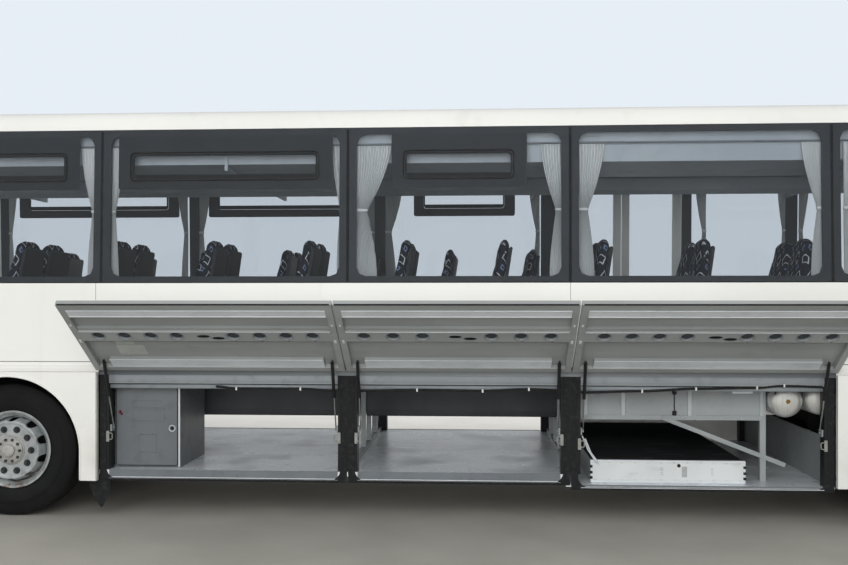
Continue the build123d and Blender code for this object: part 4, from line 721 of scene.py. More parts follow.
# A leaf that carries its own panes is shown as two pieces, paint and glass, cut from its solids.
def loose_parts(node):
    """Copies of a CAD node's solids, each welded, as new meshes."""
    source = bmesh.new()
    source.from_mesh(nodes[node].data)
    bmesh.ops.transform(source, matrix=nodes[node].matrix_world, verts=source.verts)
    bmesh.ops.remove_doubles(source, verts=source.verts, dist=2e-5)
    left, parts = set(source.verts), []
    while left:
        seed = left.pop()
        island, edge_of = {seed}, [seed]
        while edge_of:
            vert = edge_of.pop()
            for link in vert.link_edges:
                other = link.other_vert(vert)
                if other not in island:
                    island.add(other)
                    edge_of.append(other)
        left -= island
        parts.append(island)
    made = []
    for island in sorted(parts, key=lambda verts: -len(verts)):
        piece = Stock()
        copies = {vert: piece.mesh.verts.new(vert.co) for vert in island}
        for face in source.faces:
            if face.verts[0] in island:
                piece.mesh.faces.new([copies[vert] for vert in face.verts])
        bmesh.ops.dissolve_limit(piece.mesh, angle_limit=math.radians(0.6),
                                 verts=piece.mesh.verts, edges=piece.mesh.edges)
        made.append(piece)
    source.free()
    return made


DOORS = (("front_door", -5.300), ("lift_door_front", 1.190), ("lift_door_rear", 1.410))
for node, handle_x in DOORS:
    leaf, *leaf_panes = loose_parts(node)
    leaf.fix(f"{node}_leaf", body_paint, node, "white_panel", (node,), 30)
    for index, pane in enumerate(leaf_panes):
        pane.fix(f"{node}_pane_{index + 1}", side_glass, node, "side_glass", (node,), 30)


# Repeats along a line: screws, clips and vents, as boxes or round heads.
def line_jig(name, shape, sizes):
    jig = Jig(name, first=(0.0, 0.0, 0.0), step=(0.1, 0.0, 0.0), count=4, size=(0.01, 0.01, 0.01),
              turn=(0.0, 0.0, 0.0))
    spots = jig.add("GeometryNodeMeshLine", {"mode": "OFFSET"}, {
        "Count": jig.size("count"), "Start Location": jig.size("first"),
        "Offset": jig.size("step")})
    unit = jig.add(shape, values=sizes)
    return jig.end(jig.add("GeometryNodeInstanceOnPoints", values={
        "Points": spots, "Instance": unit, "Rotation": jig.size("turn"),
        "Scale": jig.size("size")}))


box_line = line_jig("box_line", "GeometryNodeMeshCube", {"Size": (1.0, 1.0, 1.0)})
head_line = line_jig("head_line", "GeometryNodeMeshCylinder", {
    "Vertices": 10, "Radius": 0.5, "Depth": 1.0})
ACROSS = (math.pi / 2, 0.0, 0.0)


def row(first, size, turn=(0.0, 0.0, 0.0), step=(0.0, 0.0, 0.0), count=1):
    """One run of a repeat along a line, or a single shape."""
    return {"first": first, "step": step, "count": count, "size": size, "turn": turn}


# What is fixed inside each hatch, drawn with the hatch shut and then swung open with it: rolled
# rings round the rail's holes and slots, black discs and plates of painted shade in them, a bright
# hinge profile with two ribs, the rail's rolled edges, the lip profile, seals, painted shadow lines,
# and screws and white clips on the side frames.
SKIN_Y = 1.275
HATCH_IN = 0.040
HOLE_Z = 0.700
HOLE_R = 0.048
SLOTS = ((-0.011, 0.702), (0.095, 0.726))  # from the hatch's middle, and up
UPPER_TRIMS = (  # foot, top and how far it stands proud, each
    (1.040, 1.050, 0.0045), (1.154, 1.166, 0.0045), (1.050, 1.154, 0.0015))
LOWER_TRIMS = (
    (0.6405, 0.648, 0.0028), (0.380, 0.444, 0.0025), (0.372, 0.381, 0.0055), (0.443, 0.452, 0.0055))
UPPER_IN, LOWER_IN, SIDE_SEAL_IN = 0.150, 0.052, 0.004  # from the hatch's ends
SEAL_FOOT_Z, SIDE_SEAL_Z = 0.3055, (0.320, 1.165)
SHADOW_LINES_Z = ((0.7695, 0.7715), (0.4535, 0.456))
HOLE_ROWS = {4: (0.207, 0.193), 3: (0.245, 0.211)}  # to the first hole, and on to each next
PLATE_THICK = 0.001
CLIPS = ((0.025, 0.770, (0.016, 0.0044, 0.034)), (0.024, 0.560, (0.012, 0.0040, 0.018)))


def oval(x, y, z, half_x, half_z, sides=28):
    return [(x + half_x * math.cos(2 * math.pi * k / sides), y,
             z + half_z * math.sin(2 * math.pi * k / sides)) for k in range(sides)]


def rolled_hole(stock, x, y, z, half_x, half_z, inward):
    """A pressed rim round a hole, turned down into it."""
    steps = ((0.0095, 0.0004), (0.0060, 0.0022), (0.0022, 0.0022), (-0.0020, -0.0006),
             (-0.0036, -0.0080), (-0.0040, -0.0170))
    stock.rings([oval(x, y + inward * out, z, half_x + wide, half_z + wide)
                 for wide, out in steps], capped=False)


for node, sign, bay in HATCHES:
    x0, x1 = BAY_X[bay] + 0.005, BAY_X[bay + 1] - 0.005
    middle, swung = (x0 + x1) / 2, opened(sign)
    inner, inward = sign * (SKIN_Y - HATCH_IN), -sign
    count = 4 if x1 - x0 > 1.8 else 3
    first, step = HOLE_ROWS[count]
    holes = [middle + way * (first + step * k) for k in range(count) for way in (-1, 1)]
    ring_work, throat_shade, slot_shade = Stock(), Stock(), Stock()
    for at in holes:
        rolled_hole(ring_work, at, inner, HOLE_Z, HOLE_R, HOLE_R, inward)
        # A black disc down each hole: painted shade where the hole looks into the hatch.
        throat_shade.rings([oval(at, inner - inward * 0.0175 + thick, HOLE_Z, HOLE_R - 0.002,
                           HOLE_R - 0.002) for thick in (0, PLATE_THICK)])
    for off, at_z in SLOTS:
        rolled_hole(ring_work, middle + off, inner, at_z, 0.046, 0.017, inward)
        # A flat black plate in each slot: painted shade seen through the slot.
        slot_shade.rings([oval(middle + off, inner + inward * 0.0004 + thick, at_z, 0.0445, 0.0155)
                         for thick in (0, PLATE_THICK)])
    ring_work.moved(swung).fix(f"{node}_hole_rims", grey_alu, node, "hatch_alloy", smooth=50)
    throat_shade.moved(swung).fix(f"{node}_hole_shade_discs", black_metal, node, smooth=0)
    slot_shade.moved(swung).fix(f"{node}_slots", painted_shadow_black, node, smooth=0)

    trim = Stock()
    rail_y = sign * (SKIN_Y - 0.030)
    for at_y, trims, end_in, chamfer in ((rail_y, UPPER_TRIMS, UPPER_IN, 0.0012),
                                         (inner, LOWER_TRIMS, LOWER_IN, 0.0010)):
        for z0, z1, stand in trims:
            trim.block((x0 + end_in, at_y, z0), (x1 - end_in, at_y + inward * stand, z1), chamfer)
    trim.moved(swung).fix(f"{node}_profiles", bright_alu, node, "hatch_alloy", smooth=30)

    dark = Stock()
    # Thin black strips across the rail: painted shadow lines, fixed with the rubber seals.
    for z0, z1 in SHADOW_LINES_Z:
        dark.block((x0 + LOWER_IN, inner, z0), (x1 - LOWER_IN, inner + inward * 0.0008, z1))
    dark.pipe([(at, sign * (SKIN_Y - 0.036), SEAL_FOOT_Z) for at in (x0 + 0.012, x1 - 0.012)],
              0.006, 8)
    for at in (x0 + SIDE_SEAL_IN, x1 - SIDE_SEAL_IN):
        dark.pipe([(at, sign * (SKIN_Y - 0.032), at_z) for at_z in SIDE_SEAL_Z], 0.0045, 8)
    dark.moved(swung).fix(f"{node}_seals_and_shadow_lines", seal_rubber, node, "black_plastic", smooth=40)

    proud = inner + inward * 0.002
    dots = [row((at + 0.012, proud, 0.762), (0.007, 0.007, 0.004), ACROSS)
            for at in holes if at > middle]
    head_line.run(f"{node}_screws", nut_steel, node, dots, move=swung)
    clips = [row((at, proud, at_z), size) for in_from_end, at_z, size in CLIPS
             for at in (x0 + in_from_end, x1 - in_from_end)]
    box_line.run(f"{node}_clips", clip_white, node, clips, move=swung)

# A blank pale paper notice on the first hatch's panel.
notice_coat = coat_of("notice_paper", "aeb2ae", "a5a9a5", "8f938f", 0.6, 0.0, 8.0)
notice = Stock()
for x0, x1, z0, z1 in ((-2.83, -2.62, 0.881, 1.006), (-2.82, -2.68, 0.822, 0.868)):
    notice.block((x0, -SKIN_Y + 0.0041, z0), (x1, -SKIN_Y + 0.0050, z1))
notice.moved(opened(-1)).fix("hatch_left_1_notice", notice_coat, "hatch_left_1", smooth=0)


# Black rubber seals round each opening, with rounded corners, and what the openings frame.
SEAL_ROWS = (  # how far in from the opening's edge, corner, and place across the coach
    (0.0, 0.004, 1.2235), (0.0, 0.004, 1.2270), (0.020, 0.020, 1.2290), (0.034, 0.040, 1.2270),
    (0.046, 0.058, 1.2300), (0.054, 0.062, 1.2260), (0.056, 0.062, 1.2115), (0.050, 0.060, 1.2115))
seals, nosing, floor_edge, fascia, shadow = (Stock() for _ in range(5))
POST_HALF = 0.077
FOOT = (0.296, 0.296, 0.262)  # the foot of each bay's opening
floor_edging = coat_of("floor_edging", "787e82", "70767a", "5c6062", 0.4, 0.25, 3.0)
EDGE_Z = ((0.314, 0.384), (0.314, 0.384), (0.277, 0.304))  # foot and top of the floor's edging
BULGE = ((1.2160, 1.050), (1.2215, 1.054), (1.2250, 1.064), (1.2268, 1.080), (1.2265, 1.100),
         (1.2250, 1.116), (1.2220, 1.128), (1.2165, 1.134))
for node, sign, bay in HATCHES:
    x0, x1, z0, z1 = BAY_X[bay] + 0.004, BAY_X[bay + 1] - 0.004, FOOT[bay], 1.186
    half_u, half_v = (x1 - x0) / 2, (z1 - z0) / 2
    mid_u, mid_v = (x0 + x1) / 2, (z0 + z1) / 2
    seals.rings(
        [[(mid_u + u, sign * out, mid_v + v)
          for u, v in outline_box(half_u - grow, half_v - grow * 0.52, corner, 8)]
         for grow, corner, out in SEAL_ROWS], closed=True)
    ends = (BAY_X[bay] + POST_HALF, BAY_X[bay + 1] - POST_HALF)
    low, high = EDGE_Z[bay]
    nosing.block((ends[0], sign * 1.2232, low), (ends[1], sign * 1.2285, low + 0.013), 0.002)
    floor_edge.block((ends[0], sign * 1.2232, low + 0.010), (ends[1], sign * 1.2252, high), 0.001)
    fascia.rings([[(at, sign * y, z) for y, z in BULGE] for at in ends])
    fascia.block((ends[0], sign * 1.190, 1.012), (ends[1], sign * 1.205, 1.047), 0.003)
    # A thin black strip between the fascia and its bulge: painted shadow in the groove.
    shadow.block((ends[0], sign * 1.2236, 1.0485), (ends[1], sign * 1.2226, 1.0530))
seals.fix("bay_seals", seal_rubber, "root", "black_plastic", smooth=50)
nosing.fix("bay_floor_nosing", bright_alu, "root", "bay_floor", smooth=30)
floor_edge.fix("bay_floor_edges", floor_edging, "root", "bay_floor", smooth=30)
fascia.fix("bay_fascias", grey_alu, "root", "frame_steel", smooth=50)
shadow.fix("bay_fascia_groove_shadow", painted_shadow_black, "root", smooth=0)

# Bright U strikers on the posts, and the wiring hose clipped under the fascias.
STRIKER_Z, STRIKER_IN = (0.640, 0.640, 0.610), 0.066
strikers = Stock()
for node, sign, bay in HATCHES:
    for at, way in ((BAY_X[bay] + STRIKER_IN, 1), (BAY_X[bay + 1] - STRIKER_IN, -1)):
        at_z = STRIKER_Z[bay]
        strikers.block((at - 0.012, sign * 1.2225, at_z - 0.042),
                       (at + 0.012, sign * 1.2285, at_z + 0.042), 0.001)
        strikers.pipe([(at + way * reach, sign * 1.2265, at_z + lift) for reach, lift in (
            (0.0, -0.024), (0.030, -0.024), (0.036, -0.018), (0.036, 0.018), (0.030, 0.024),
            (0.0, 0.024))], 0.0045, 8)
strikers.fix("hatch_strikers", zinc, "root", smooth=40)

HOSE = {0: ((-2.16, 1.030), (-2.00, 1.016), (-1.50, 1.016), (-1.215, 1.000)),
        1: ((-1.055, 1.004), (-0.60, 1.012), (-0.10, 1.008), (0.25, 1.022), (0.486, 1.016)),
        2: ((0.644, 1.000), (1.10, 1.012), (1.50, 1.032), (1.95, 1.042), (2.15, 1.060),
            (2.444, 1.052))}
HOSE_Y = -1.2180
hose, hose_clips = Stock(), []
for bay, spots in HOSE.items():
    route = []
    for (xa, za), (xb, zb) in zip(spots, spots[1:]):
        steps = max(2, int((xb - xa) / 0.012))
        route += [(xa + (xb - xa) * k / steps, za + (zb - za) * eased(k / steps, 0, 1))
                  for k in range(steps)]
    rows = []
    for k, (at_x, at_z) in enumerate(route):
        radius = 0.0105 if k % 2 else 0.0088
        rows.append([(at_x, HOSE_Y + radius * math.cos(turn), at_z + radius * math.sin(turn))
                     for turn in (2 * math.pi * n / 8 for n in range(8))])
    hose.rings(rows)
    hose_clips += [row((at_x, HOSE_Y, at_z), (0.012, 0.025, 0.025)) for at_x, at_z in spots[1:-1]]
hose.fix("bay_wiring_hose", hose_black, "root", "black_plastic", smooth=0)
box_line.run("bay_hose_clips", clip_white, "root", hose_clips)

# The window band leans in above the sill, so what is fixed on it is drawn upright and then leant.
LEAN = math.atan(0.038 / 1.228)


def leant(sign):
    foot = Matrix.Translation((0, sign * 1.275, 1.80))
    return foot @ Matrix.Rotation(sign * LEAN, 4, "X") @ foot.inverted()


JOINTS = {-1: (-5.075, -3.050, -1.130, 0.560, 2.490, 4.410), 1: (-3.050, -1.130, 0.560, 2.970, 4.410)}
BAND_ENDS = {-1: (-6.115, 6.095), 1: (-5.08, 6.095)}
HOPPERS = (  # dark panel's two ends, hopper's two ends; the last is on the driver's side only
    (-4.930, -3.230, -4.830, -3.333), (-2.921, -1.247, -2.827, -1.355),
    (-0.795, 0.234, -0.704, 0.136), (2.740, 4.170, 2.840, 4.070))
BAND_Z, JOINT_HALF = (1.838, 3.008), 0.0095
LIFT_DOOR_X = (0.68, 1.92)
PANEL_Z = (2.556, 2.985)
HOPPER_Z = (2.624, 2.843)
GLASS_OUT = 1.275
GLASS_IN = 1.2685


def framed(stock, sign, rows, mid_u, mid_v, half_u, half_v, steps=6):
    """A ring round an opening: rows of how far it grows, its corner, and its place across."""
    stock.rings([[(mid_u + u, sign * out, mid_v + v) for u, v in outline_box(
        half_u + grow, half_v + grow, corner, steps)] for grow, corner, out in rows], closed=True)


frit_coat = coat_of("frit_black", "26292d", "2a2d31", "3a3d40", 0.35, 0.0, 4.0)
for sign, side in SIDES:
    gasket, dark = Stock(), Stock()
    for at in JOINTS[sign]:
        gasket.block((at - JOINT_HALF, sign * 1.2655, BAND_Z[0]),
                     (at + JOINT_HALF, sign * 1.2738, BAND_Z[1]), 0.002)
    ends = BAND_ENDS[sign]
    sills = [ends] if sign < 0 else [(ends[0], LIFT_DOOR_X[0]), (LIFT_DOOR_X[1], ends[1])]
    for a, b in sills:
        gasket.block((a, sign * 1.2690, 1.8305), (b, sign * 1.2752, 1.8385), 0.0015)
    for panel0, panel1, hop0, hop1 in HOPPERS[:4 if sign < 0 else 3]:
        half_u, half_v = (hop1 - hop0) / 2, (HOPPER_Z[1] - HOPPER_Z[0]) / 2
        mid_u, mid_v = (hop0 + hop1) / 2, (HOPPER_Z[0] + HOPPER_Z[1]) / 2
        framed(gasket, sign, ((0.004, 0.040, GLASS_OUT + 0.0005), (0.002, 0.038, GLASS_OUT + 0.0022),
                              (-0.004, 0.034, GLASS_OUT + 0.0022), (-0.006, 0.032, GLASS_OUT + 0.0005)),
               mid_u, mid_v, half_u, half_v)
        framed(gasket, sign, ((-0.012, 0.030, GLASS_IN), (-0.012, 0.030, GLASS_IN - 0.022),
                              (-0.024, 0.022, GLASS_IN - 0.022), (-0.024, 0.022, GLASS_IN)),
               mid_u, mid_v, half_u, half_v)
        gasket.block((hop0 + 0.022, sign * 1.245, HOPPER_Z[0] + 0.022),
                     (hop1 - 0.022, sign * 1.252, HOPPER_Z[0] + 0.050), 0.003)  # the pull bar
        outer = (outline_box((panel1 - panel0) / 2, (PANEL_Z[1] - PANEL_Z[0]) / 2, 0.022, 6),
                 (panel0 + panel1) / 2, (PANEL_Z[0] + PANEL_Z[1]) / 2)
        inner = outline_box(half_u - 0.010, half_v - 0.010, 0.030, 6), mid_u, mid_v
        dark.rings([[(at_u + u, sign * (GLASS_IN - behind), at_v + v) for u, v in shape]
                    for (shape, at_u, at_v), behind in (
                        (outer, 0.0020), (outer, 0.0004), (inner, 0.0004), (inner, 0.0020))],
                   closed=True)
    for work, name, coat, smooth in ((gasket, "window_gaskets", seal_rubber, 40),
                                     (dark, "hopper_panels", frit_coat, 0)):
        work.moved(leant(sign)).fix(f"{name}_{side}", coat, "root", "black_band", smooth=smooth)

# Curtains: light blue-grey cloth on a rail, gathered, drawn back to the pillar by a band.
cloth = Finish("curtain_cloth")
weave = cloth.grain(900, 2)
# Darker streaks along the pleats: painted shade of the folds.
fold_shade = cloth.grain(14, 3, cloth.stretched(1, 1, 0.15)).rise(0.3, 0.7)
curtain_cloth = cloth.done(cloth.skin(
    cloth.mixed(fold_shade * 0.5, shade("eceeee"), shade("d6dada")), 0.85, weave, 0.25, 0.0005))
CURTAINS = {
    -1: ((-5.010, -4.920), (-3.245, -3.110), (-3.010, -2.900), (-1.262, -1.170), (-1.085, -0.803),
         (0.343, 0.515), (0.632, 0.826), (2.295, 2.464), (2.600, 2.715), (4.240, 4.345),
         (4.480, 4.590)),
    1: ((-5.010, -4.920), (-3.230, -3.120), (-3.000, -2.880), (-1.290, -1.190), (-1.080, -0.900),
        (0.370, 0.480), (2.020, 2.130), (2.820, 2.905), (3.035, 3.140), (4.240, 4.345),
        (4.480, 4.590))}
CLOTH_Z = (2.890, 2.390, 1.880)  # rail, band and foot
CLOTH_Y = (1.1695, 1.1790, 1.1855)
CLOTH_ROWS = 30
PLEAT_STEPS = 8


def wave(width, pleats, deep):
    """One row of pleats: places across its width, with how far each stands out, and its length."""
    count = pleats * PLEAT_STEPS
    row = [(width * k / count, deep * math.sin(2 * math.pi * k / PLEAT_STEPS))
           for k in range(count + 1)]
    length = sum(math.dist(a, b) for a, b in zip(row, row[1:]))
    return row, length


def curtain_mesh(x0, x1, sign, to_low, cloth_wide, pleats):
    """A gathered curtain: full width at the rail, narrow at its band, half open at the foot."""
    full = x1 - x0
    tie = (CLOTH_Z[0] - CLOTH_Z[1]) / (CLOTH_Z[0] - CLOTH_Z[2])
    rows = []
    for k in range(CLOTH_ROWS + 1):
        share = k / CLOTH_ROWS
        at_z = CLOTH_Z[0] + (CLOTH_Z[2] - CLOTH_Z[0]) * share
        if share < tie:
            part = share / tie
            width = full * (1 - 0.66 * part ** 1.5)
            y_at = CLOTH_Y[0] + (CLOTH_Y[1] - CLOTH_Y[0]) * part
        else:
            part = (share - tie) / (1 - tie)
            width = full * (0.34 + 0.26 * math.sin(part * math.pi / 2))
            y_at = CLOTH_Y[1] + (CLOTH_Y[2] - CLOTH_Y[1]) * part
        low, high = 0.0, 0.03
        for _ in range(18):
            deep = (low + high) / 2
            row, length = wave(width, pleats, deep)
            low, high = (deep, high) if length < cloth_wide else (low, deep)
        drift = 0.0015 * math.sin(share * 9 + x0 * 7)
        rows.append([((x0 + u if to_low else x1 - u) + drift, sign * (y_at + out), at_z)
                     for u, out in row])
    work = Stock()
    work.skin(rows, round_ring=False)
    return work


rail = Stock()
for sign in (-1, 1):
    rail.block((-5.05, sign * 1.160, 2.895), (4.65, sign * 1.178, 2.907), 0.002)
    for at in JOINTS[sign]:
        rail.block((at - 0.012, sign * 1.176, 2.896), (at + 0.012, sign * 1.1985, 2.906), 0.001)
curtain_rail = rail.fix("curtain_rails", grey_alu, "root", smooth=30)
for sign, side in SIDES:
    for index, (x0, x1) in enumerate(CURTAINS[sign]):
        ends = JOINTS[sign] + BAND_ENDS[sign]
        to_low = min(abs(x0 - at) for at in ends) < min(abs(x1 - at) for at in ends)
        pleats = max(4, round((x1 - x0) / 0.021))
        cloth_wide = wave(x1 - x0, pleats, 0.0112)[1]
        name = f"curtain_{side}_{index + 1}"
        piece = curtain_mesh(x0, x1, sign, to_low, cloth_wide, pleats).fix(
            name, curtain_cloth, "root", "curtain", ("curtains",), 80)
        band = Stock()
        way = 1 if to_low else -1
        near = x0 if to_low else x1
        far = near + way * (x1 - x0) * 0.36
        band.block((near - way * 0.002, sign * 1.1655, 2.380),
                   (far + way * 0.002, sign * 1.1925, 2.402), 0.004)
        tie = band.fix(f"{name}_band", curtain_cloth, "root", "curtain", smooth=40)

# Seats: navy woven cloth with open pale lozenges in two sizes, over foam that bulges between its
# seams; a dark shell behind each back, an armrest at the aisle and a cast leg.
seat_cloth = Finish("seat_cloth")
x, y, z = seat_cloth.axes()
across = (x + y) / 0.118
upward = z / 0.150


def lozenge(u, v, shift, low, high):
    """An open lozenge in each cell of a grid shifted by part of a cell."""
    side_u, side_v = ((at.sum("FRACT", at + shift) - 0.5).size() for at in (u, v))
    return (side_u + side_v).band(low, high, 0.018)


wander = seat_cloth.grain(7, 2) * 0.5
large = lozenge(across + wander, upward, 0.0, 0.29, 0.37)
small = lozenge(across + wander, upward, 0.5, 0.10, 0.19)
broken = seat_cloth.grain(26, 3).rise(0.36, 0.46)
thread = seat_cloth.grain(700, 2)
navy = seat_cloth.mixed(thread, shade("0d111a"), shade("171d2a"))
woven = seat_cloth.mixed(large * broken * 0.95, navy, shade("d3d7de"))
woven = seat_cloth.mixed(small * broken * 0.8, woven, shade("7f90b4"))
seat_fabric = seat_cloth.done(seat_cloth.skin(woven, 0.9, thread, 0.35, 0.0008))

PAD_SIDES = 36
PAD_SQUARE = 4.4
BACK_ROWS = 30
CUSHION_ROWS = 22
PUFF_STEPS = 20
PUFF_MOST = 0.012


def pad_ring(centre, ahead, half_wide, half_deep):
    """One ring round a pad: a rounded box section with its seams at the bolsters."""
    ring = []
    for k in range(PAD_SIDES):
        turn = 2 * math.pi * (k + 0.5) / PAD_SIDES
        c, s = math.cos(turn), math.sin(turn)
        u = math.copysign(abs(c) ** (2 / PAD_SQUARE), c) * half_wide
        v = math.copysign(abs(s) ** (2 / PAD_SQUARE), s) * half_deep
        ring.append(centre + Vector((0, u, 0)) + ahead * v)
    return ring


def back_pad():
    """The backrest: full width to the shoulders, then drawn in to the head."""
    rows = []
    for k in range(BACK_ROWS + 1):
        share = k / BACK_ROWS
        spot = Vector((0.004 + 0.104 * share, 0, 0.365 + 0.635 * share))
        wide = 0.216 - 0.052 * eased(share, 0.60, 0.86)
        wide *= 1 - 0.55 * max(0.0, (share - 0.90) / 0.10) ** 2.2
        wide *= 1 - 0.25 * max(0.0, (0.06 - share) / 0.06) ** 2
        deep = 0.047 - 0.010 * eased(share, 0.5, 0.8)
        deep *= 1 - 0.62 * max(0.0, (share - 0.93) / 0.07) ** 2
        deep *= 1 - 0.35 * max(0.0, (0.04 - share) / 0.04) ** 2
        rows.append(pad_ring(spot, Vector((-0.985, 0, 0.17)), wide, deep))
    return rows


def cushion_pad():
    """The seat cushion, from the back forward over its rounded front edge."""
    rows = []
    for k in range(CUSHION_ROWS + 1):
        share = k / CUSHION_ROWS
        spot = Vector((-0.005 - 0.445 * share, 0, 0.368 - 0.004 * share))
        wide = 0.216 * (1 - 0.14 * max(0.0, (share - 0.86) / 0.14) ** 2)
        deep = 0.046 * (1 - 0.60 * max(0.0, (share - 0.90) / 0.10) ** 2)
        deep *= 1 - 0.35 * max(0.0, (0.05 - share) / 0.05) ** 2
        rows.append(pad_ring(spot, Vector((0, 0, 1)), wide, deep))
    return rows


def stuffed(rows, seams):
    """A pad blown up by cloth simulation between its pinned seams, as points and faces."""
    data = Stock().rings(rows).closed("pad")
    pad = placed("pad", data)
    held = pad.vertex_groups.new(name="seams")
    held.add([row * PAD_SIDES + side for row, side in seams], 1.0, "REPLACE")
    start = [vert.co.copy() for vert in data.vertices]
    shapes = start
    cloth_run = pad.modifiers.new("cloth", "CLOTH")
    settings = cloth_run.settings
    settings.quality = 5
    settings.use_pressure = True
    settings.uniform_pressure_force = 4.0
    settings.vertex_group_mass = "seams"
    settings.tension_stiffness = settings.compression_stiffness = 12.0
    settings.bending_stiffness = 0.4
    settings.effector_weights.gravity = 0.0
    cloth_run.point_cache.frame_start, cloth_run.point_cache.frame_end = 1, PUFF_STEPS
    for step in range(1, PUFF_STEPS + 1):
        bpy.context.scene.frame_set(step)
    ready = pad.evaluated_get(bpy.context.evaluated_depsgraph_get())
    shapes = []
    for vert, first in zip(ready.data.vertices, start):
        move = vert.co - first
        shapes.append(first + move.normalized() * min(move.length, PUFF_MOST))
    bpy.context.scene.frame_set(1)
    faces = [tuple(face.vertices) for face in data.polygons]
    bpy.data.objects.remove(pad)
    bpy.data.meshes.remove(data)
    return shapes, faces


def seam_spots(row_count, lines, rings):
    """Seams: whole lines along the pad, and rings across its face."""
    spots = [(row, side) for row in range(row_count + 1) for side in lines]
    spots += [(row, side) for row in rings for side in range(PAD_SIDES)]
    return spots


FACE_SEAMS = (4, 13, 17, 18, 35, 0)
back_shape = stuffed(back_pad(), seam_spots(BACK_ROWS, FACE_SEAMS, (0, 21, BACK_ROWS)))
cushion_shape = stuffed(cushion_pad(), seam_spots(CUSHION_ROWS, FACE_SEAMS, (0, CUSHION_ROWS)))

CABIN_FLOOR = 1.1703
ROWS_AT = {
    -1: [-4.650 + 0.770 * k for k in range(14)],
    1: [-4.350 + 0.770 * k for k in range(7)] + [2.700 + 0.770 * k for k in range(5)]}
SEAT_INNER = 0.270
SEAT_WIDE, SEAT_SPLIT = 0.440, 0.016
DRIVER_AT = (-5.330, -0.720)


def add_pad(work, shape, spot):
    points, faces = shape
    made = [work.mesh.verts.new(Vector(spot) + point) for point in points]
    for face in faces:
        work.mesh.faces.new([made[i] for i in face])


SHELL_PROFILE = ((0.048, 0.335), (0.066, 0.335), (0.158, 0.930), (0.146, 0.944), (0.132, 0.930))


def seat_fittings(work, at_x, mid_y, aisle):
    """Behind and beside one seat: its shell and, at the aisle, an armrest."""
    rows = []
    for share in (-1, -0.94, -0.5, 0, 0.5, 0.94, 1):
        lift = 0.010 * (abs(share) > 0.98)
        narrow = 0.205 * share
        rows.append([(at_x + u + (0.004 if abs(share) < 0.95 else 0), mid_y + narrow * (
            1 - 0.18 * eased((v - 0.335) / 0.6, 0.6, 1.0)), CABIN_FLOOR + v - lift)
            for u, v in SHELL_PROFILE])
    work.rings(rows)
    if aisle:
        work.pipe([(at_x + back, mid_y + aisle * 0.226, CABIN_FLOOR + up) for back, up in (
            (0.050, 0.585), (-0.030, 0.612), (-0.250, 0.618), (-0.285, 0.602))], 0.019)


seat_plastic = coat_of("seat_plastic", "232528", "2a2c2f", "4a4c4e", 0.6, 0.0, 12.0)
RAIL_ENDS = (SEAT_INNER + 0.02, SEAT_INNER + 2 * SEAT_WIDE - 0.01)
POST_Y = SEAT_INNER + 0.15
LEG_BLOCKS = (  # X from and to, Y from and to, Z from and to above the floor, chamfer
    (-0.36, -0.32, *RAIL_ENDS, 0.275, 0.312, 0.006), (-0.06, -0.02, *RAIL_ENDS, 0.275, 0.312, 0.006),
    (-0.27, -0.09, POST_Y - 0.022, POST_Y + 0.022, 0.0, 0.290, 0.010),
    (-0.33, -0.03, POST_Y - 0.034, POST_Y + 0.034, 0.0, 0.014, 0.004))
for sign, side in SIDES:
    backs, cushions, shells, legs = Stock(), Stock(), Stock(), Stock()
    seats = [(at, sign * (SEAT_INNER + SEAT_WIDE / 2 + index * (SEAT_WIDE + SEAT_SPLIT)),
              -sign if index == 0 else 0) for at in ROWS_AT[sign] for index in range(2)]
    for at in ROWS_AT[sign]:
        for x0, x1, y0, y1, z0, z1, chamfer in LEG_BLOCKS:
            legs.block((at + x0, sign * y0, CABIN_FLOOR + z0), (at + x1, sign * y1, CABIN_FLOOR + z1),
                       chamfer)
    if sign < 0:
        seats.append((*DRIVER_AT, 0))
        legs.block((-5.66, -0.85, CABIN_FLOOR), (-5.39, -0.60, CABIN_FLOOR + 0.315), 0.02)
    for at, mid, aisle in seats:
        add_pad(backs, back_shape, (at, mid, CABIN_FLOOR))
        add_pad(cushions, cushion_shape, (at, mid, CABIN_FLOOR))
        seat_fittings(shells, at, mid, aisle)
    covers = ("passenger_seats", "driver_seat") if sign < 0 else ("passenger_seats",)
    for work, part, fill in ((backs, "backs", 0.8), (cushions, "cushions", 0.85)):
        pads = work.fix(f"seat_{part}_{side}", seat_fabric, "root", "seat_fabric", covers, 60)
    shells.fix(f"seat_shells_{side}", seat_plastic, "root", "black_plastic", smooth=40)
    legs.fix(f"seat_legs_{side}", coats["chassis_paint"], "root", smooth=35)

# Fittings in the bays: the cabinet's edging, lock, catch and pressed panels; the beam's strap and
# screws; the air tanks' bands and drain plugs; the lift cassette's knob, buffers and stays.
trims, darks, screws = Stock(), Stock(), []
SCREW = (0.007, 0.007, 0.004)
CAB_X, CAB_Y, CAB_Z = (-3.003, -2.480), -1.110, (0.3803, 1.030)
face = CAB_Y - 0.006
cabinet_door = Stock()
cabinet_door.block((-2.987, face, 0.398), (-2.498, CAB_Y - 0.0002, 1.008), 0.0025)
cabinet_door.fix("cabinet_door", coats["cabinet_grey"], "root", "grey_panel", smooth=30)
trims.block((CAB_X[1] - 0.010, face - 0.001, CAB_Z[0] + 0.004),
            (CAB_X[1] + 0.002, face + 0.016, CAB_Z[1] + 0.002), 0.002)
trims.block((CAB_X[0] + 0.004, face + 0.002, CAB_Z[1] - 0.014),
            (CAB_X[1], face + 0.014, CAB_Z[1] + 0.002), 0.002)
pressed = Stock()
for x0, x1, z0, z1 in ((-2.853, -2.628, 0.838, 0.905), (-2.853, -2.600, 0.745, 0.850),
                       (-2.800, -2.665, 0.500, 0.640)):
    corners = ((x0, z0), (x1, z0), (x1, z1), (x0, z1))
    pressed.pipe([(x, face - 0.0002, z) for x, z in corners], 0.0022, 6, closed=True)
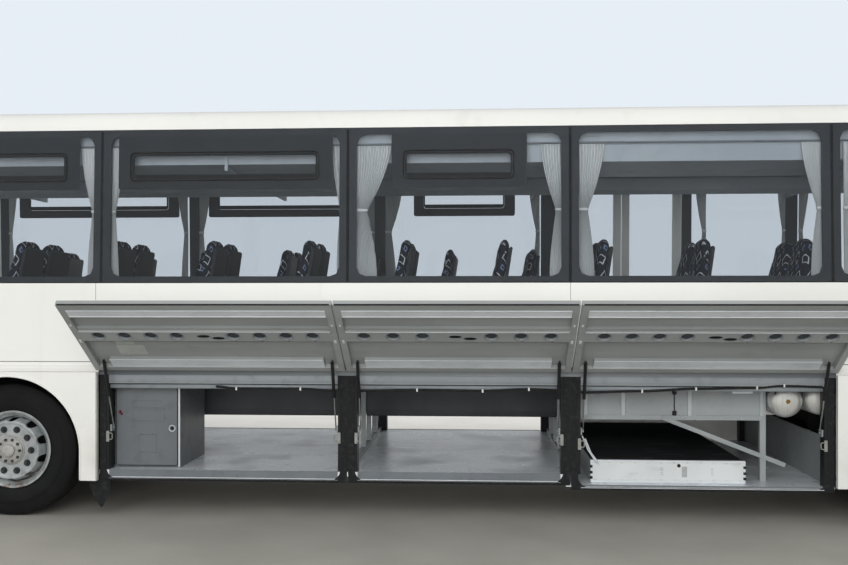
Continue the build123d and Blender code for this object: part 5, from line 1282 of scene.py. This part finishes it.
pressed.fix("cabinet_pressings", coats["cabinet_grey"], "root", "grey_panel", smooth=50)
lock = (-2.540, face, 0.690)
darks.turned(lock, (0, -1, 0), ((0.0, 0.004), (0.012, 0.004), (0.014, 0.0)), 16)
trims.turned(lock, (0, -1, 0), ((0.020, 0.0), (0.024, 0.003), (0.027, 0.0)), 24)
darks.pipe([(-2.7425 + u, face + 0.0004, 0.703 + v) for u, v in outline_box(0.2445, 0.305, 0.020)],
           0.0026, 6, closed=True)
screws += [row((CAB_X[0] + 0.05, face - 0.001, 1.019), SCREW, ACROSS, (0.105, 0, 0), 5)]
catch_red = coat_of("catch_red", "741426", "62101f", "3a0c14", 0.4, 0.0, 40.0)
catch = Stock()
catch.block((-2.966, face - 0.012, 0.806), (-2.946, face, 0.830), 0.004)
catch.block((-2.952, face - 0.010, 0.794), (-2.934, face, 0.810), 0.004)
catch.fix("cabinet_catch", catch_red, "root", smooth=40)

beam_light = coat_of("beam_light", "b4babb", "a9afb0", "7e8283", 0.4, 0.1, 4.0)
BEAM_X0, front = 0.655, -1.000
for at_z in (0.822, 0.985):
    darks.block((1.371, front - 0.004, at_z - 0.018), (1.401, front + 0.015, at_z + 0.018), 0.003)
darks.pipe([(1.386, front + 0.010, 0.802), (1.386, front + 0.009, 1.010),
            (1.380, front - 0.004, 1.035)], 0.004, 8)
screws += [row((BEAM_X0 + 0.04, front - 0.001, at_z), (0.009, 0.009, 0.004), ACROSS, (0.15, 0, 0), 10)
           for at_z in (0.787, 1.052)]
trims.block((1.830, front + 0.0105, 0.975), (1.985, front + 0.0142, 1.020), 0.001)
stiles = Stock()
for at_x in (0.700, 0.994, 1.504, 2.055):
    stiles.block((at_x - 0.017, front + 0.004, 0.772), (at_x + 0.017, front + 0.016, 1.058), 0.003)
for low, high in ((0.771, 0.802), (1.030, 1.060)):
    stiles.block((0.683, front + 0.003, low), (2.072, front + 0.016, high), 0.003)
stiles.fix("beam_stiles", beam_light, "root", "frame_steel", smooth=30)

brass = coat_of("drain_brass", "b08d4c", "9a7a3f", "5c4a2c", 0.35, 0.8, 60.0)
plugs, bands, domes = Stock(), Stock(), Stock()
brush = Finish("brushed_tank")
lines = brush.grain(60, 2, brush.stretched(1, 1, 0.04)).rise(0.3, 0.7)
brushed = brush.done(brush.skin(brush.mixed(lines * 0.3, shade("e8e8e4"), shade("b4b4b0")), 0.34,
                                lines, 0.15, 0.0004, Metallic=0.7))
for tank_x, tank_z, radius in ((2.210, 0.930, 0.125), (2.466, 0.945, 0.118)):
    domes.turned((tank_x, -1.110, tank_z), (0, -1, 0), (
        (0.0, 0.016), (radius * 0.30, 0.0145), (radius * 0.55, 0.0095), (radius * 0.75, 0.0005),
        (radius * 0.90, -0.0140), (radius * 0.975, -0.0300), (radius + 0.001, -0.0480),
        (radius + 0.001, -0.0700), (0.0, -0.0700)), 56)
    plugs.turned((tank_x, -1.124, tank_z), (0, -1, 0), (
        (0.0, 0.016), (0.010, 0.016), (0.011, 0.006), (0.018, 0.005), (0.019, -0.004)), 6)
    for at_y in (-1.020, -0.560):
        bands.turned((tank_x, at_y, tank_z), (0, 1, 0), (
            (radius - 0.004, -0.014), (radius + 0.0035, -0.014), (radius + 0.0035, 0.014),
            (radius - 0.004, 0.014)), 48)
domes.fix("tank_domes", brushed, "root", "tank_alloy", smooth=60)
plugs.fix("tank_plugs", brass, "root", smooth=30)
bands.fix("tank_bands", grey_alu, "root", "tank_alloy", smooth=35)
darks.pipe([(2.090, -1.150, 1.112), (2.105, -1.150, 1.080), (2.118, -1.148, 1.052),
            (2.120, -1.130, 1.010), (2.118, -1.090, 0.975), (2.116, -1.050, 0.960)], 0.0065, 8)

CASS_X, CASS_Z, front = (0.730, 1.880), (0.3023, 0.475), -1.140
knob = (1.390, front, 0.440)
darks.turned(knob, (0, -1, 0), ((0.0, 0.010), (0.009, 0.010), (0.013, 0.006), (0.013, 0.0)), 20)
darks.turned(knob, (0, -1, 0), ((0.006, 0.0105), (0.0075, 0.012), (0.009, 0.0105)), 16)
for low, high, back in ((CASS_Z[1] - 0.010, CASS_Z[1] + 0.004, 0.020),
                        (CASS_Z[0] + 0.004, CASS_Z[0] + 0.020, 0.014)):
    trims.block((CASS_X[0] - 0.006, front - 0.006, low), (CASS_X[1] + 0.006, front + back, high), 0.002)
for at_x in (CASS_X[0] - 0.002, CASS_X[1] + 0.002):
    trims.block((at_x - 0.006, front - 0.008, CASS_Z[0] + 0.006),
                (at_x + 0.006, front + 0.030, CASS_Z[1] + 0.002), 0.002)
    for at_z in (0.345, 0.385, 0.430):
        darks.block((at_x - 0.010, front - 0.014, at_z - 0.010),
                    (at_x + 0.010, front + 0.010, at_z + 0.010), 0.003)
patch_coat = coat_of("patch_grey", "a9abab", "a0a2a2", "8c8e8e", 0.6, 0.0, 8.0)
patch = Stock()
patch.block((1.412, front - 0.0010, 0.352), (1.452, front - 0.0001, 0.432))
patch.fix("cassette_patch", patch_coat, "root", smooth=0)
slots = [row((at_x, front - 0.0006, 0.372), (wide, 0.0012, 0.003), step=(0, 0, 0.016), count=4)
         for at_x, wide in ((1.262, 0.022), (1.640, 0.016))]
box_line.run("cassette_slots", grey_alu, "root", slots)
screws += [row((CASS_X[0] + 0.035, front - 0.001, at_z), (0.008, 0.008, 0.004), ACROSS,
               (0.0982, 0, 0), 12) for at_z in (0.330, 0.458)]
for shift in (0.0, 0.022):
    trims.pipe([(0.655 + shift, -1.1900, 0.668 - shift), (0.700 + shift, -1.1780, 0.560 - shift),
                (0.765 + shift, -1.1560, 0.462 - shift * 0.5)], 0.0055, 8)
trims.fix("bay_trims", bright_alu, "root", smooth=35)
darks.fix("bay_dark_fittings", hose_black, "root", "black_plastic", smooth=40)
head_line.run("bay_screws", zinc, "root", screws)

# Round the wheels: a rolled lip on each arch, mud flaps, and a pointed rubber corner behind each
# front wheel; along the waist a moulding with two ribs, open at the front door and at the bays.
lips, flaps = Stock(), Stock()
ARCH, ARCH_FOOT = 0.585, 0.305
CORNER = ((0.0, 0.0), (0.170, 0.0), (0.172, -0.050), (0.150, -0.120), (0.110, -0.200),
          (0.095, -0.214), (0.075, -0.190), (0.030, -0.110), (0.004, -0.050))
FLAPS = ((-3.155, 0.80, 0.250), (3.890, 0.64, 0.140))  # X, inner edge and foot
for sign in (-1, 1):
    for axle_x, wheel_y in AXLES.values():
        arch = [(ARCH * math.cos(t), TYRE_R + ARCH * math.sin(t))
                for t in (math.pi * k / 60 for k in range(61))]
        lips.pipe([(axle_x + x, sign * 1.2715, z)
                   for x, z in ((ARCH, ARCH_FOOT), *arch, (-ARCH, ARCH_FOOT))], 0.0085)
    flaps.plate(CORNER, 0.006, sign * 1.190, -3.175, 0.292)
    for back_x, inner_y, foot_z in FLAPS:
        flaps.block((back_x, sign * inner_y, foot_z), (back_x + 0.006, sign * 1.12, 0.500), 0.001)
    for x0, x1 in ((-6.05 if sign < 0 else -5.06, -3.065), (2.510, 6.00)):
        lips.block((x0, sign * 1.2752, 1.141), (x1, sign * 1.2795, 1.203), 0.0015)
        for at_z in (1.152, 1.192):
            lips.block((x0 + 0.002, sign * 1.2790, at_z - 0.004),
                       (x1 - 0.002, sign * 1.2815, at_z + 0.004), 0.001)
lips.fix("arch_lips", body_paint, "root", "white_panel", smooth=60)
flaps.fix("mud_flaps", seal_rubber, "root", "black_plastic", smooth=30)


# Wheels as pressed: a round rim with its lip, gutter and rolled bead seats, and a dished disc with
# ten oval hand holes cut through its cone.
LIP_R, SEAT_R, WELL_R = 0.3060, 0.2857, 0.2637
DISC_PROFILE = (  # radius and reach outwards from the wheel's middle, the outer face from the hub
    (0.1060, 0.1600), (0.1980, 0.1600), (0.2050, 0.1612), (0.2120, 0.1650), (0.2190, 0.1668),
    (0.2260, 0.1655), (0.2320, 0.1600), (0.2360, 0.1500), (0.2400, 0.1300), (0.2440, 0.1000),
    (0.2480, 0.0650), (0.2540, 0.0300))
RIM_PROFILE = (
    (0.2545, 0.0300), (0.2555, 0.0700), (0.2600, 0.0880), (0.2700, 0.0980), (0.2760, 0.1020),
    (0.2800, 0.1080), (0.2830, 0.1140), (0.2900, 0.1190), (0.2980, 0.1225), (0.3035, 0.1228),
    (LIP_R, 0.1200), (0.3055, 0.1160), (0.2990, 0.1130), (0.2900, 0.1080), (SEAT_R - 0.001, 0.0990),
    (WELL_R, 0.0480), (WELL_R, -0.0480), (SEAT_R - 0.001, -0.0990), (0.2990, -0.1130),
    (LIP_R, -0.1180), (LIP_R - 0.004, -0.1220), (0.2900, -0.1150), (0.2770, -0.1050),
    (0.2545, -0.0500), (0.2545, 0.0050), (0.2500, 0.0150))
RIM_SIDES = 90


def wheel_work(holes):
    """One wheel about its own middle, reaching outwards along +Z."""
    back = [(radius, out - 0.013 - 0.003 * (radius > 0.21)) for radius, out in DISC_PROFILE[:-2]]
    section = [*DISC_PROFILE, *RIM_PROFILE,
               *((radius - 0.006 * (radius > 0.215), out) for radius, out in reversed(back)),
               DISC_PROFILE[0]]
    data = Stock().turned((0, 0, 0), (0, 0, 1), section, RIM_SIDES).closed("wheel")
    wheel = placed("wheel", data)
    if holes:
        cutter_work = Stock()
        for k in range(STUDS):
            turn = Matrix.Rotation(2 * math.pi * k / STUDS + math.pi / 2, 4, "Z")
            ring = [(0.2385 + 0.0165 * math.sin(a), 0.034 * math.cos(a)) for a in
                    (2 * math.pi * n / 24 for n in range(24))]
            cutter_work.rings([[turn @ Vector((u + lean, v, h)) for u, v in ring]
                               for lean, h in ((0.0, 0.19), (0.006, 0.045))])
        cutter = placed("cutter", cutter_work.closed("cutter"))
        cut = wheel.modifiers.new("cut", "BOOLEAN")
        cut.object, cut.operation, cut.solver = cutter, "DIFFERENCE", "EXACT"
        data = bpy.data.meshes.new_from_object(
            wheel.evaluated_get(bpy.context.evaluated_depsgraph_get()))
        bpy.data.objects.remove(cutter)
    bpy.data.objects.remove(wheel)
    return data


wheel_meshes = {holes: wheel_work(holes) for holes in (True, False)}
HUBS = {"front": ((0.0, 0.205), (0.036, 0.205), (0.046, 0.201), (0.0500, 0.193), (0.0505, 0.184),
                  (0.056, 0.182), (0.098, 0.182), (0.104, 0.179), (0.108, 0.168), (0.114, 0.166),
                  (0.1175, 0.160), (0.1175, 0.130), (0.0, 0.130)),
        "rear": ((0.0, 0.058), (0.070, 0.058), (0.080, 0.054), (0.082, 0.040), (0.112, 0.040),
                 (0.118, 0.034), (0.118, -0.130), (0.0, -0.130))}
hub_coat = coat_of("hub_paint", "b5b4b0", "a3a29d", "6b6257", 0.45, 0.35, 14.0, 0.45)
DRUM = ((0.0, 0.0), (0.205, 0.0), (0.205, 0.188), (0.0, 0.188))
for end, side, sign, axle_x, wheel_y, body, tyre, rim in WHEELS:
    spots = [(wheel_y, sign, True)] if end == "front" else [
        (wheel_y, -sign, True), (REAR_INNER_Y, sign, False)]
    work = Stock()
    for at_y, out, holes in spots:
        part = wheel_meshes[holes].copy()
        facing = Matrix.Rotation(-out * math.pi / 2, 4, "X")
        part.transform(Matrix.Translation((axle_x, sign * at_y, TYRE_R)) @ facing)
        work.mesh.from_mesh(part)
        bpy.data.meshes.remove(part)
    if end == "rear":
        work.turned((axle_x, sign * 0.585, TYRE_R), (0, sign, 0), DRUM, 48)
    work.fix(f"{rim}_pressed", wheel_silver, body, "rim_steel", (rim,), 32)
    hub = Stock().turned((axle_x, sign * wheel_y, TYRE_R), (0, sign, 0), HUBS[end], 48)
    hub.fix(f"{rim}_hub", hub_coat, body, "rim_steel", (rim,), 35)

# The ends, the roof and the doors: grille slots, wipers, lamp units, blank number plates, flap
# louvres, roof fans and door handles, each laid on the curved panels by dropping points on them.
AHEAD, BACK, KERB, DOWN = (Vector(way) for way in ((1, 0, 0), (-1, 0, 0), (0, -1, 0), (0, 0, -1)))


def skin_of(*names):
    """The outside of some CAD pieces, to drop points on."""
    shell = bmesh.new()
    for name in names:
        part = nodes[name].data.copy()
        part.transform(nodes[name].matrix_world)
        shell.from_mesh(part)
        bpy.data.meshes.remove(part)
    tree = BVHTree.FromBMesh(shell)
    shell.free()
    return tree


def dropped(tree, way, u, v, stand):
    """The point of a skin met along one axis, stood off from it; joints are stepped over."""
    if way.x:
        first, up = Vector((-9 * way.x, u, v)), Vector((0, 0, 1))
    elif way.y:
        first, up = Vector((u, -9 * way.y, v)), Vector((0, 0, 1))
    else:
        first, up = Vector((u, v, 9)), Vector((0, 1, 0))
    for nudge in (0.0, 0.003, -0.003, 0.009, -0.009, 0.02, -0.02):
        start = first + up * nudge
        hit = tree.ray_cast(start, way)[0]
        if hit:
            return hit - way * stand - (start - first)
    raise ValueError(f"nothing at {u:.3f}, {v:.3f} along {tuple(way)}")


def laid(stock, tree, way, u0, u1, v0, v1, stand, steps=(14, 3), sunk=0.004):
    """A sheet that follows a panel, with its edges turned down into it."""
    count_u, count_v = steps
    grid = [[dropped(tree, way, u0 + (u1 - u0) * i / count_u, v0 + (v1 - v0) * j / count_v, stand)
             for i in range(count_u + 1)] for j in range(count_v + 1)]
    skin = stock.skin(grid, round_ring=False)
    border = (skin[0] + [row[-1] for row in skin[1:]] + skin[-1][-2::-1]
              + [row[0] for row in skin[-2:0:-1]])
    turned_down = [stock.mesh.verts.new(vert.co + way * (stand + sunk)) for vert in border]
    for i in range(len(border)):
        j = (i + 1) % len(border)
        stock.mesh.faces.new((border[i], border[j], turned_down[j], turned_down[i]))


nose = skin_of("front_mask", "front_bumper", "lamps", "windscreen", "roof_shell")
tail = skin_of("rear_mask", "engine_flap", "lamps", "roof_shell", "window_glass")
lid_skin = skin_of("engine_flap")
amber = coat_of("amber_lens", "c87a1c", "b86c16", "7a4a12", 0.16, 0.0, 200.0)
red = coat_of("red_lens", "8f1418", "801216", "4c0e10", 0.16, 0.0, 200.0)
plate_white = coat_of("blank_plate", "d9d9d3", "cfcfc9", "aaa9a2", 0.4, 0.0, 12.0)
lamp_clear = coat_of("lamp_clear", "cfd6da", "c4cbd0", "9aa2a8", 0.08, 0.55, 120.0)
SHEETS = (  # coat, skin, way, from and to across, from and to up, how far it stands proud
    ("dark", nose, AHEAD, -0.500, 0.500, 0.712, 0.868, 0.0030),
    *(("body", nose, AHEAD, -0.490, 0.490, low, low + 0.012, 0.0100) for low in (0.742, 0.784, 0.826)),
    ("dark", nose, AHEAD, -0.460, 0.460, 0.345, 0.405, 0.0030),
    ("dark", nose, AHEAD, -0.262, 0.262, 0.452, 0.572, 0.0060),
    ("plate", nose, AHEAD, -0.255, 0.255, 0.458, 0.566, 0.0085),
    ("dark", nose, AHEAD, -1.120, 1.120, 1.386, 1.404, 0.0040),
    ("dark", nose, AHEAD, -1.050, 1.050, 2.860, 3.016, 0.0015),
    ("dark", nose, AHEAD, -1.150, 1.150, 0.6385, 0.6425, 0.0004),
    ("dark", nose, AHEAD, -1.100, 1.100, 0.9250, 0.9285, 0.0004),
    ("dark", nose, AHEAD, -0.945, -0.565, 0.706, 0.874, 0.0030),
    ("dark", nose, AHEAD, 0.565, 0.945, 0.706, 0.874, 0.0030),
    ("amber", nose, AHEAD, -1.120, -0.965, 0.712, 0.868, 0.0040),
    ("amber", nose, AHEAD, 0.965, 1.120, 0.712, 0.868, 0.0040),
    ("plate", tail, BACK, -0.255, 0.255, 0.462, 0.570, 0.0065),
    ("dark", tail, BACK, -0.262, 0.262, 0.456, 0.576, 0.0040),
    ("red", tail, BACK, -0.160, 0.160, 2.935, 2.965, 0.0060),
    ("dark", tail, BACK, -1.050, 1.050, 1.936, 1.950, 0.0040),
    ("dark", tail, BACK, -1.050, 1.050, 2.900, 2.914, 0.0040),
    ("red", tail, BACK, -0.980, -0.880, 0.480, 0.520, 0.0060),
    ("red", tail, BACK, 0.880, 0.980, 0.480, 0.520, 0.0060))
stocks = {coat: Stock() for coat in ("dark", "body", "plate", "amber", "red")}
dark = stocks["dark"]
for coat, skin, way, u0, u1, v0, v1, stand in SHEETS:
    laid(stocks[coat], skin, way, u0, u1, v0, v1, stand)
lamp_rings, lamp_glasses = Stock(), Stock()
for y, z, radius in ((0.655, 0.790, 0.070), (0.845, 0.790, 0.070), (0.880, 0.500, 0.048)):
    for sign in (-1, 1):
        spot = dropped(nose, AHEAD, sign * y, z, 0.0)
        lamp_rings.turned(spot, -AHEAD, (
            (radius, -0.010), (radius + 0.009, -0.006), (radius + 0.010, 0.010),
            (radius + 0.006, 0.014), (radius, 0.012)), 36)
        lamp_glasses.turned(spot, -AHEAD, (
            (0.0, 0.013), (radius * 0.5, 0.011), (radius + 0.001, 0.006), (radius + 0.001, -0.010),
            (0.0, -0.010)), 36)
for coat, z, radius in (("red", 0.870, 0.052), ("amber", 1.110, 0.052), ("plate", 1.290, 0.034)):
    for sign in (-1, 1):
        spot = dropped(tail, BACK, sign * 1.072, z, 0.0)
        stocks[coat].turned(spot, -BACK, (
            (0.0, 0.013), (radius * 0.6, 0.011), (radius, 0.006), (radius, -0.012), (0.0, -0.012)), 32)
        lamp_rings.turned(spot, -BACK, ((radius, -0.010), (radius + 0.006, -0.006),
                                        (radius + 0.007, 0.009), (radius, 0.010)), 32)
for start, mid, tip in ((-0.30, -0.62, -1.02), (0.62, 0.30, -0.10)):  # the wipers
    foot = dropped(nose, AHEAD, start, 1.372, 0.012)
    dark.turned(foot, -AHEAD, ((0.0, 0.020), (0.020, 0.018), (0.024, 0.0), (0.024, -0.02)), 20)
    dark.pipe([dropped(nose, AHEAD, start + (mid - start) * k / 6, 1.372 + 0.110 * k / 6, 0.026)
               for k in range(7)], 0.0075, 8)
    blade = [dropped(nose, AHEAD, tip + (start + 0.05 - tip) * k / 16, 1.490 - 0.012 * (k - 8) / 8,
                     0.012) for k in range(17)]
    dark.pipe(blade, 0.008, 8)
    dark.pipe([point - AHEAD * 0.012 for point in blade[3:14]], 0.004, 6)

# Roof: three fans under round grilles and side vents on the unit, and seals round the roof lids.
roof = skin_of("roof_units", "roof_shell")
FAN_X, VENT_X, LID_X = (4.05, 4.70, 5.35), (3.9, 4.7, 5.5), (-3.3, 1.5)
for x in FAN_X:
    top = dropped(roof, DOWN, x, 0.0, 0.0)
    dark.turned(top, -DOWN, ((0.0, 0.004), (0.225, 0.004), (0.225, -0.004), (0.0, -0.004)), 40)
    lamp_rings.turned(top, -DOWN, ((0.225, -0.003), (0.240, 0.002), (0.240, 0.014), (0.228, 0.016)), 40)
    for ring in (0.06, 0.115, 0.17):
        dark.turned(top, -DOWN, ((ring, 0.009), (ring + 0.004, 0.013), (ring + 0.008, 0.009),
                                 (ring + 0.004, 0.005)), 32)
    for turn in (math.pi * k / 4 for k in range(4)):
        reach, lift = Vector((math.cos(turn), math.sin(turn), 0)) * 0.232, Vector((0, 0, 0.010))
        dark.pipe([top - reach + lift, top + reach + lift], 0.004, 6)
box_line.run("roof_vents", black_plastic, "root", [
    row((x, sign * (0.873 - up * 0.32), 3.252 + up), (0.46, 0.008, 0.008))
    for x in VENT_X for up in (0.035, 0.055, 0.075, 0.095) for sign in (-1, 1)])
for x in LID_X:
    dark.pipe([(x + u, v, 3.262) for u, v in outline_box(0.353, 0.353, 0.012, 3)], 0.008, 8,
              closed=True)
    for sign in (-1, 1):
        at = dropped(roof, DOWN, x + sign * 0.2, 0.0, 0.0)
        dark.block(at - Vector((0.05, 0.02, 0.002)), at + Vector((0.05, 0.02, 0.003)), 0.001)

# Mirrors: glass in a dark rim on the face turned to the driver, and a clamp on each arm.
mirror_glass = coat_of("mirror_glass", "8b98a2", "84919b", "6a7680", 0.03, 1.0, 3.0)
mirror_faces = Stock()
for sign in (-1, 1):
    middle = Vector((-6.285, sign * 1.400, 2.290))
    for work, low, high, chamfer in (
            (mirror_faces, (0.0, -0.088, -0.192), (0.0016, 0.088, 0.192), 0.0005),
            (dark, (-0.095, -0.030, 0.205), (0.002, -0.004, 0.250), 0.004)):
        work.block(middle + Vector(low), middle + Vector(high), chamfer)
mirror_faces.fix("mirror_faces", mirror_glass, "root", smooth=0)
dark.pipe([(6.30, -0.72, 0.385), (6.44, -0.72, 0.372), (6.475, -0.72, 0.365)], 0.045, 24)
dark.fix("end_dark_fittings", black_plastic, "root", "black_plastic", smooth=40)
stocks["body"].fix("grille_bars", body_paint, "root", smooth=40)
stocks["plate"].fix("blank_plates", plate_white, "root", smooth=30)
stocks["amber"].fix("amber_lamps", amber, "root", "lamp_lens", smooth=30)
stocks["red"].fix("red_lamps", red, "root", "lamp_lens", smooth=30)
lamp_rings.fix("lamp_rings", bright_alu, "root", smooth=35)
lamp_glasses.fix("lamp_glasses", lamp_clear, "root", "lamp_lens", smooth=40)

# Engine flap: a field of louvres with black sheets of painted shade in their gaps, a recessed handle
# whose recess is a black sheet of painted shade, and two key locks, all carried by the flap.
louvres, louvre_shade, flap_locks = Stock(), Stock(), Stock()
for k in range(8):
    at_z = 1.060 + 0.052 * k
    # A black sheet under each louvre: painted shade in the gap.
    laid(louvre_shade, lid_skin, BACK, -0.620, 0.620, at_z, at_z + 0.026, 0.0008, (12, 1))
    lip = [dropped(lid_skin, BACK, -0.635 + 1.27 * n / 12, at_z + 0.029, 0.0045) for n in range(13)]
    louvres.pipe(lip, 0.0065, 8)
# The handle's recess: a black sheet of painted shade.
laid(louvre_shade, lid_skin, BACK, -0.090, 0.090, 0.700, 0.760, 0.0010, (4, 1))
louvres.pipe([dropped(lid_skin, BACK, y, 0.738, 0.010) for y in (-0.075, 0.0, 0.075)], 0.007, 8)
for y in (-0.62, 0.62):
    flap_locks.turned(dropped(lid_skin, BACK, y, 0.730, 0.0), -BACK, (
        (0.0, 0.004), (0.014, 0.004), (0.018, 0.0), (0.018, -0.004), (0.0, -0.004)), 20)
louvre_shade.fix("flap_gap_shade", painted_shadow_black, "engine_flap", smooth=0)
louvres.fix("flap_louvres", body_paint, "engine_flap", smooth=50)
flap_locks.fix("flap_locks", bright_alu, "engine_flap", smooth=30)

# Doors: black edge rubbers, a push handle and a lock on each leaf.
for node, handle_x in DOORS:
    leaf = skin_of(node)
    face = [nodes[node].matrix_world @ vert.co for vert in nodes[node].data.vertices]
    face = [co for co in face if co.y > 1.23]
    x0, x1 = min(co.x for co in face), max(co.x for co in face)
    foot = min(co.z for co in face)
    while leaf.ray_cast(Vector((x0, 9, foot + 0.03)), KERB)[0] is None:
        x0 += 0.001
    while leaf.ray_cast(Vector((x1, 9, foot + 0.03)), KERB)[0] is None:
        x1 -= 0.001
    edges, grips = Stock(), Stock()
    for at in (x0 + 0.002, x1 - 0.014):
        laid(edges, leaf, KERB, at, at + 0.012, foot + 0.03, 1.600, 0.0025, (1, 6))
    laid(edges, leaf, KERB, x0 + 0.02, x1 - 0.02, foot + 0.004, foot + 0.020, 0.0025, (6, 1))
    laid(edges, leaf, KERB, handle_x - 0.055, handle_x + 0.055, 1.025, 1.090, 0.0015, (3, 2))
    grips.pipe([dropped(leaf, KERB, handle_x + off, 1.070, 0.012) for off in (-0.042, 0.0, 0.042)],
               0.007, 8)
    grips.turned(dropped(leaf, KERB, handle_x, 0.985, 0.0), (0, 1, 0), (
        (0.0, 0.005), (0.012, 0.004), (0.015, 0.0), (0.015, -0.004), (0.0, -0.004)), 20)
    edges.fix(f"{node}_edges", seal_rubber, node, smooth=30)
    grips.fix(f"{node}_grips", bright_alu, node, smooth=40)
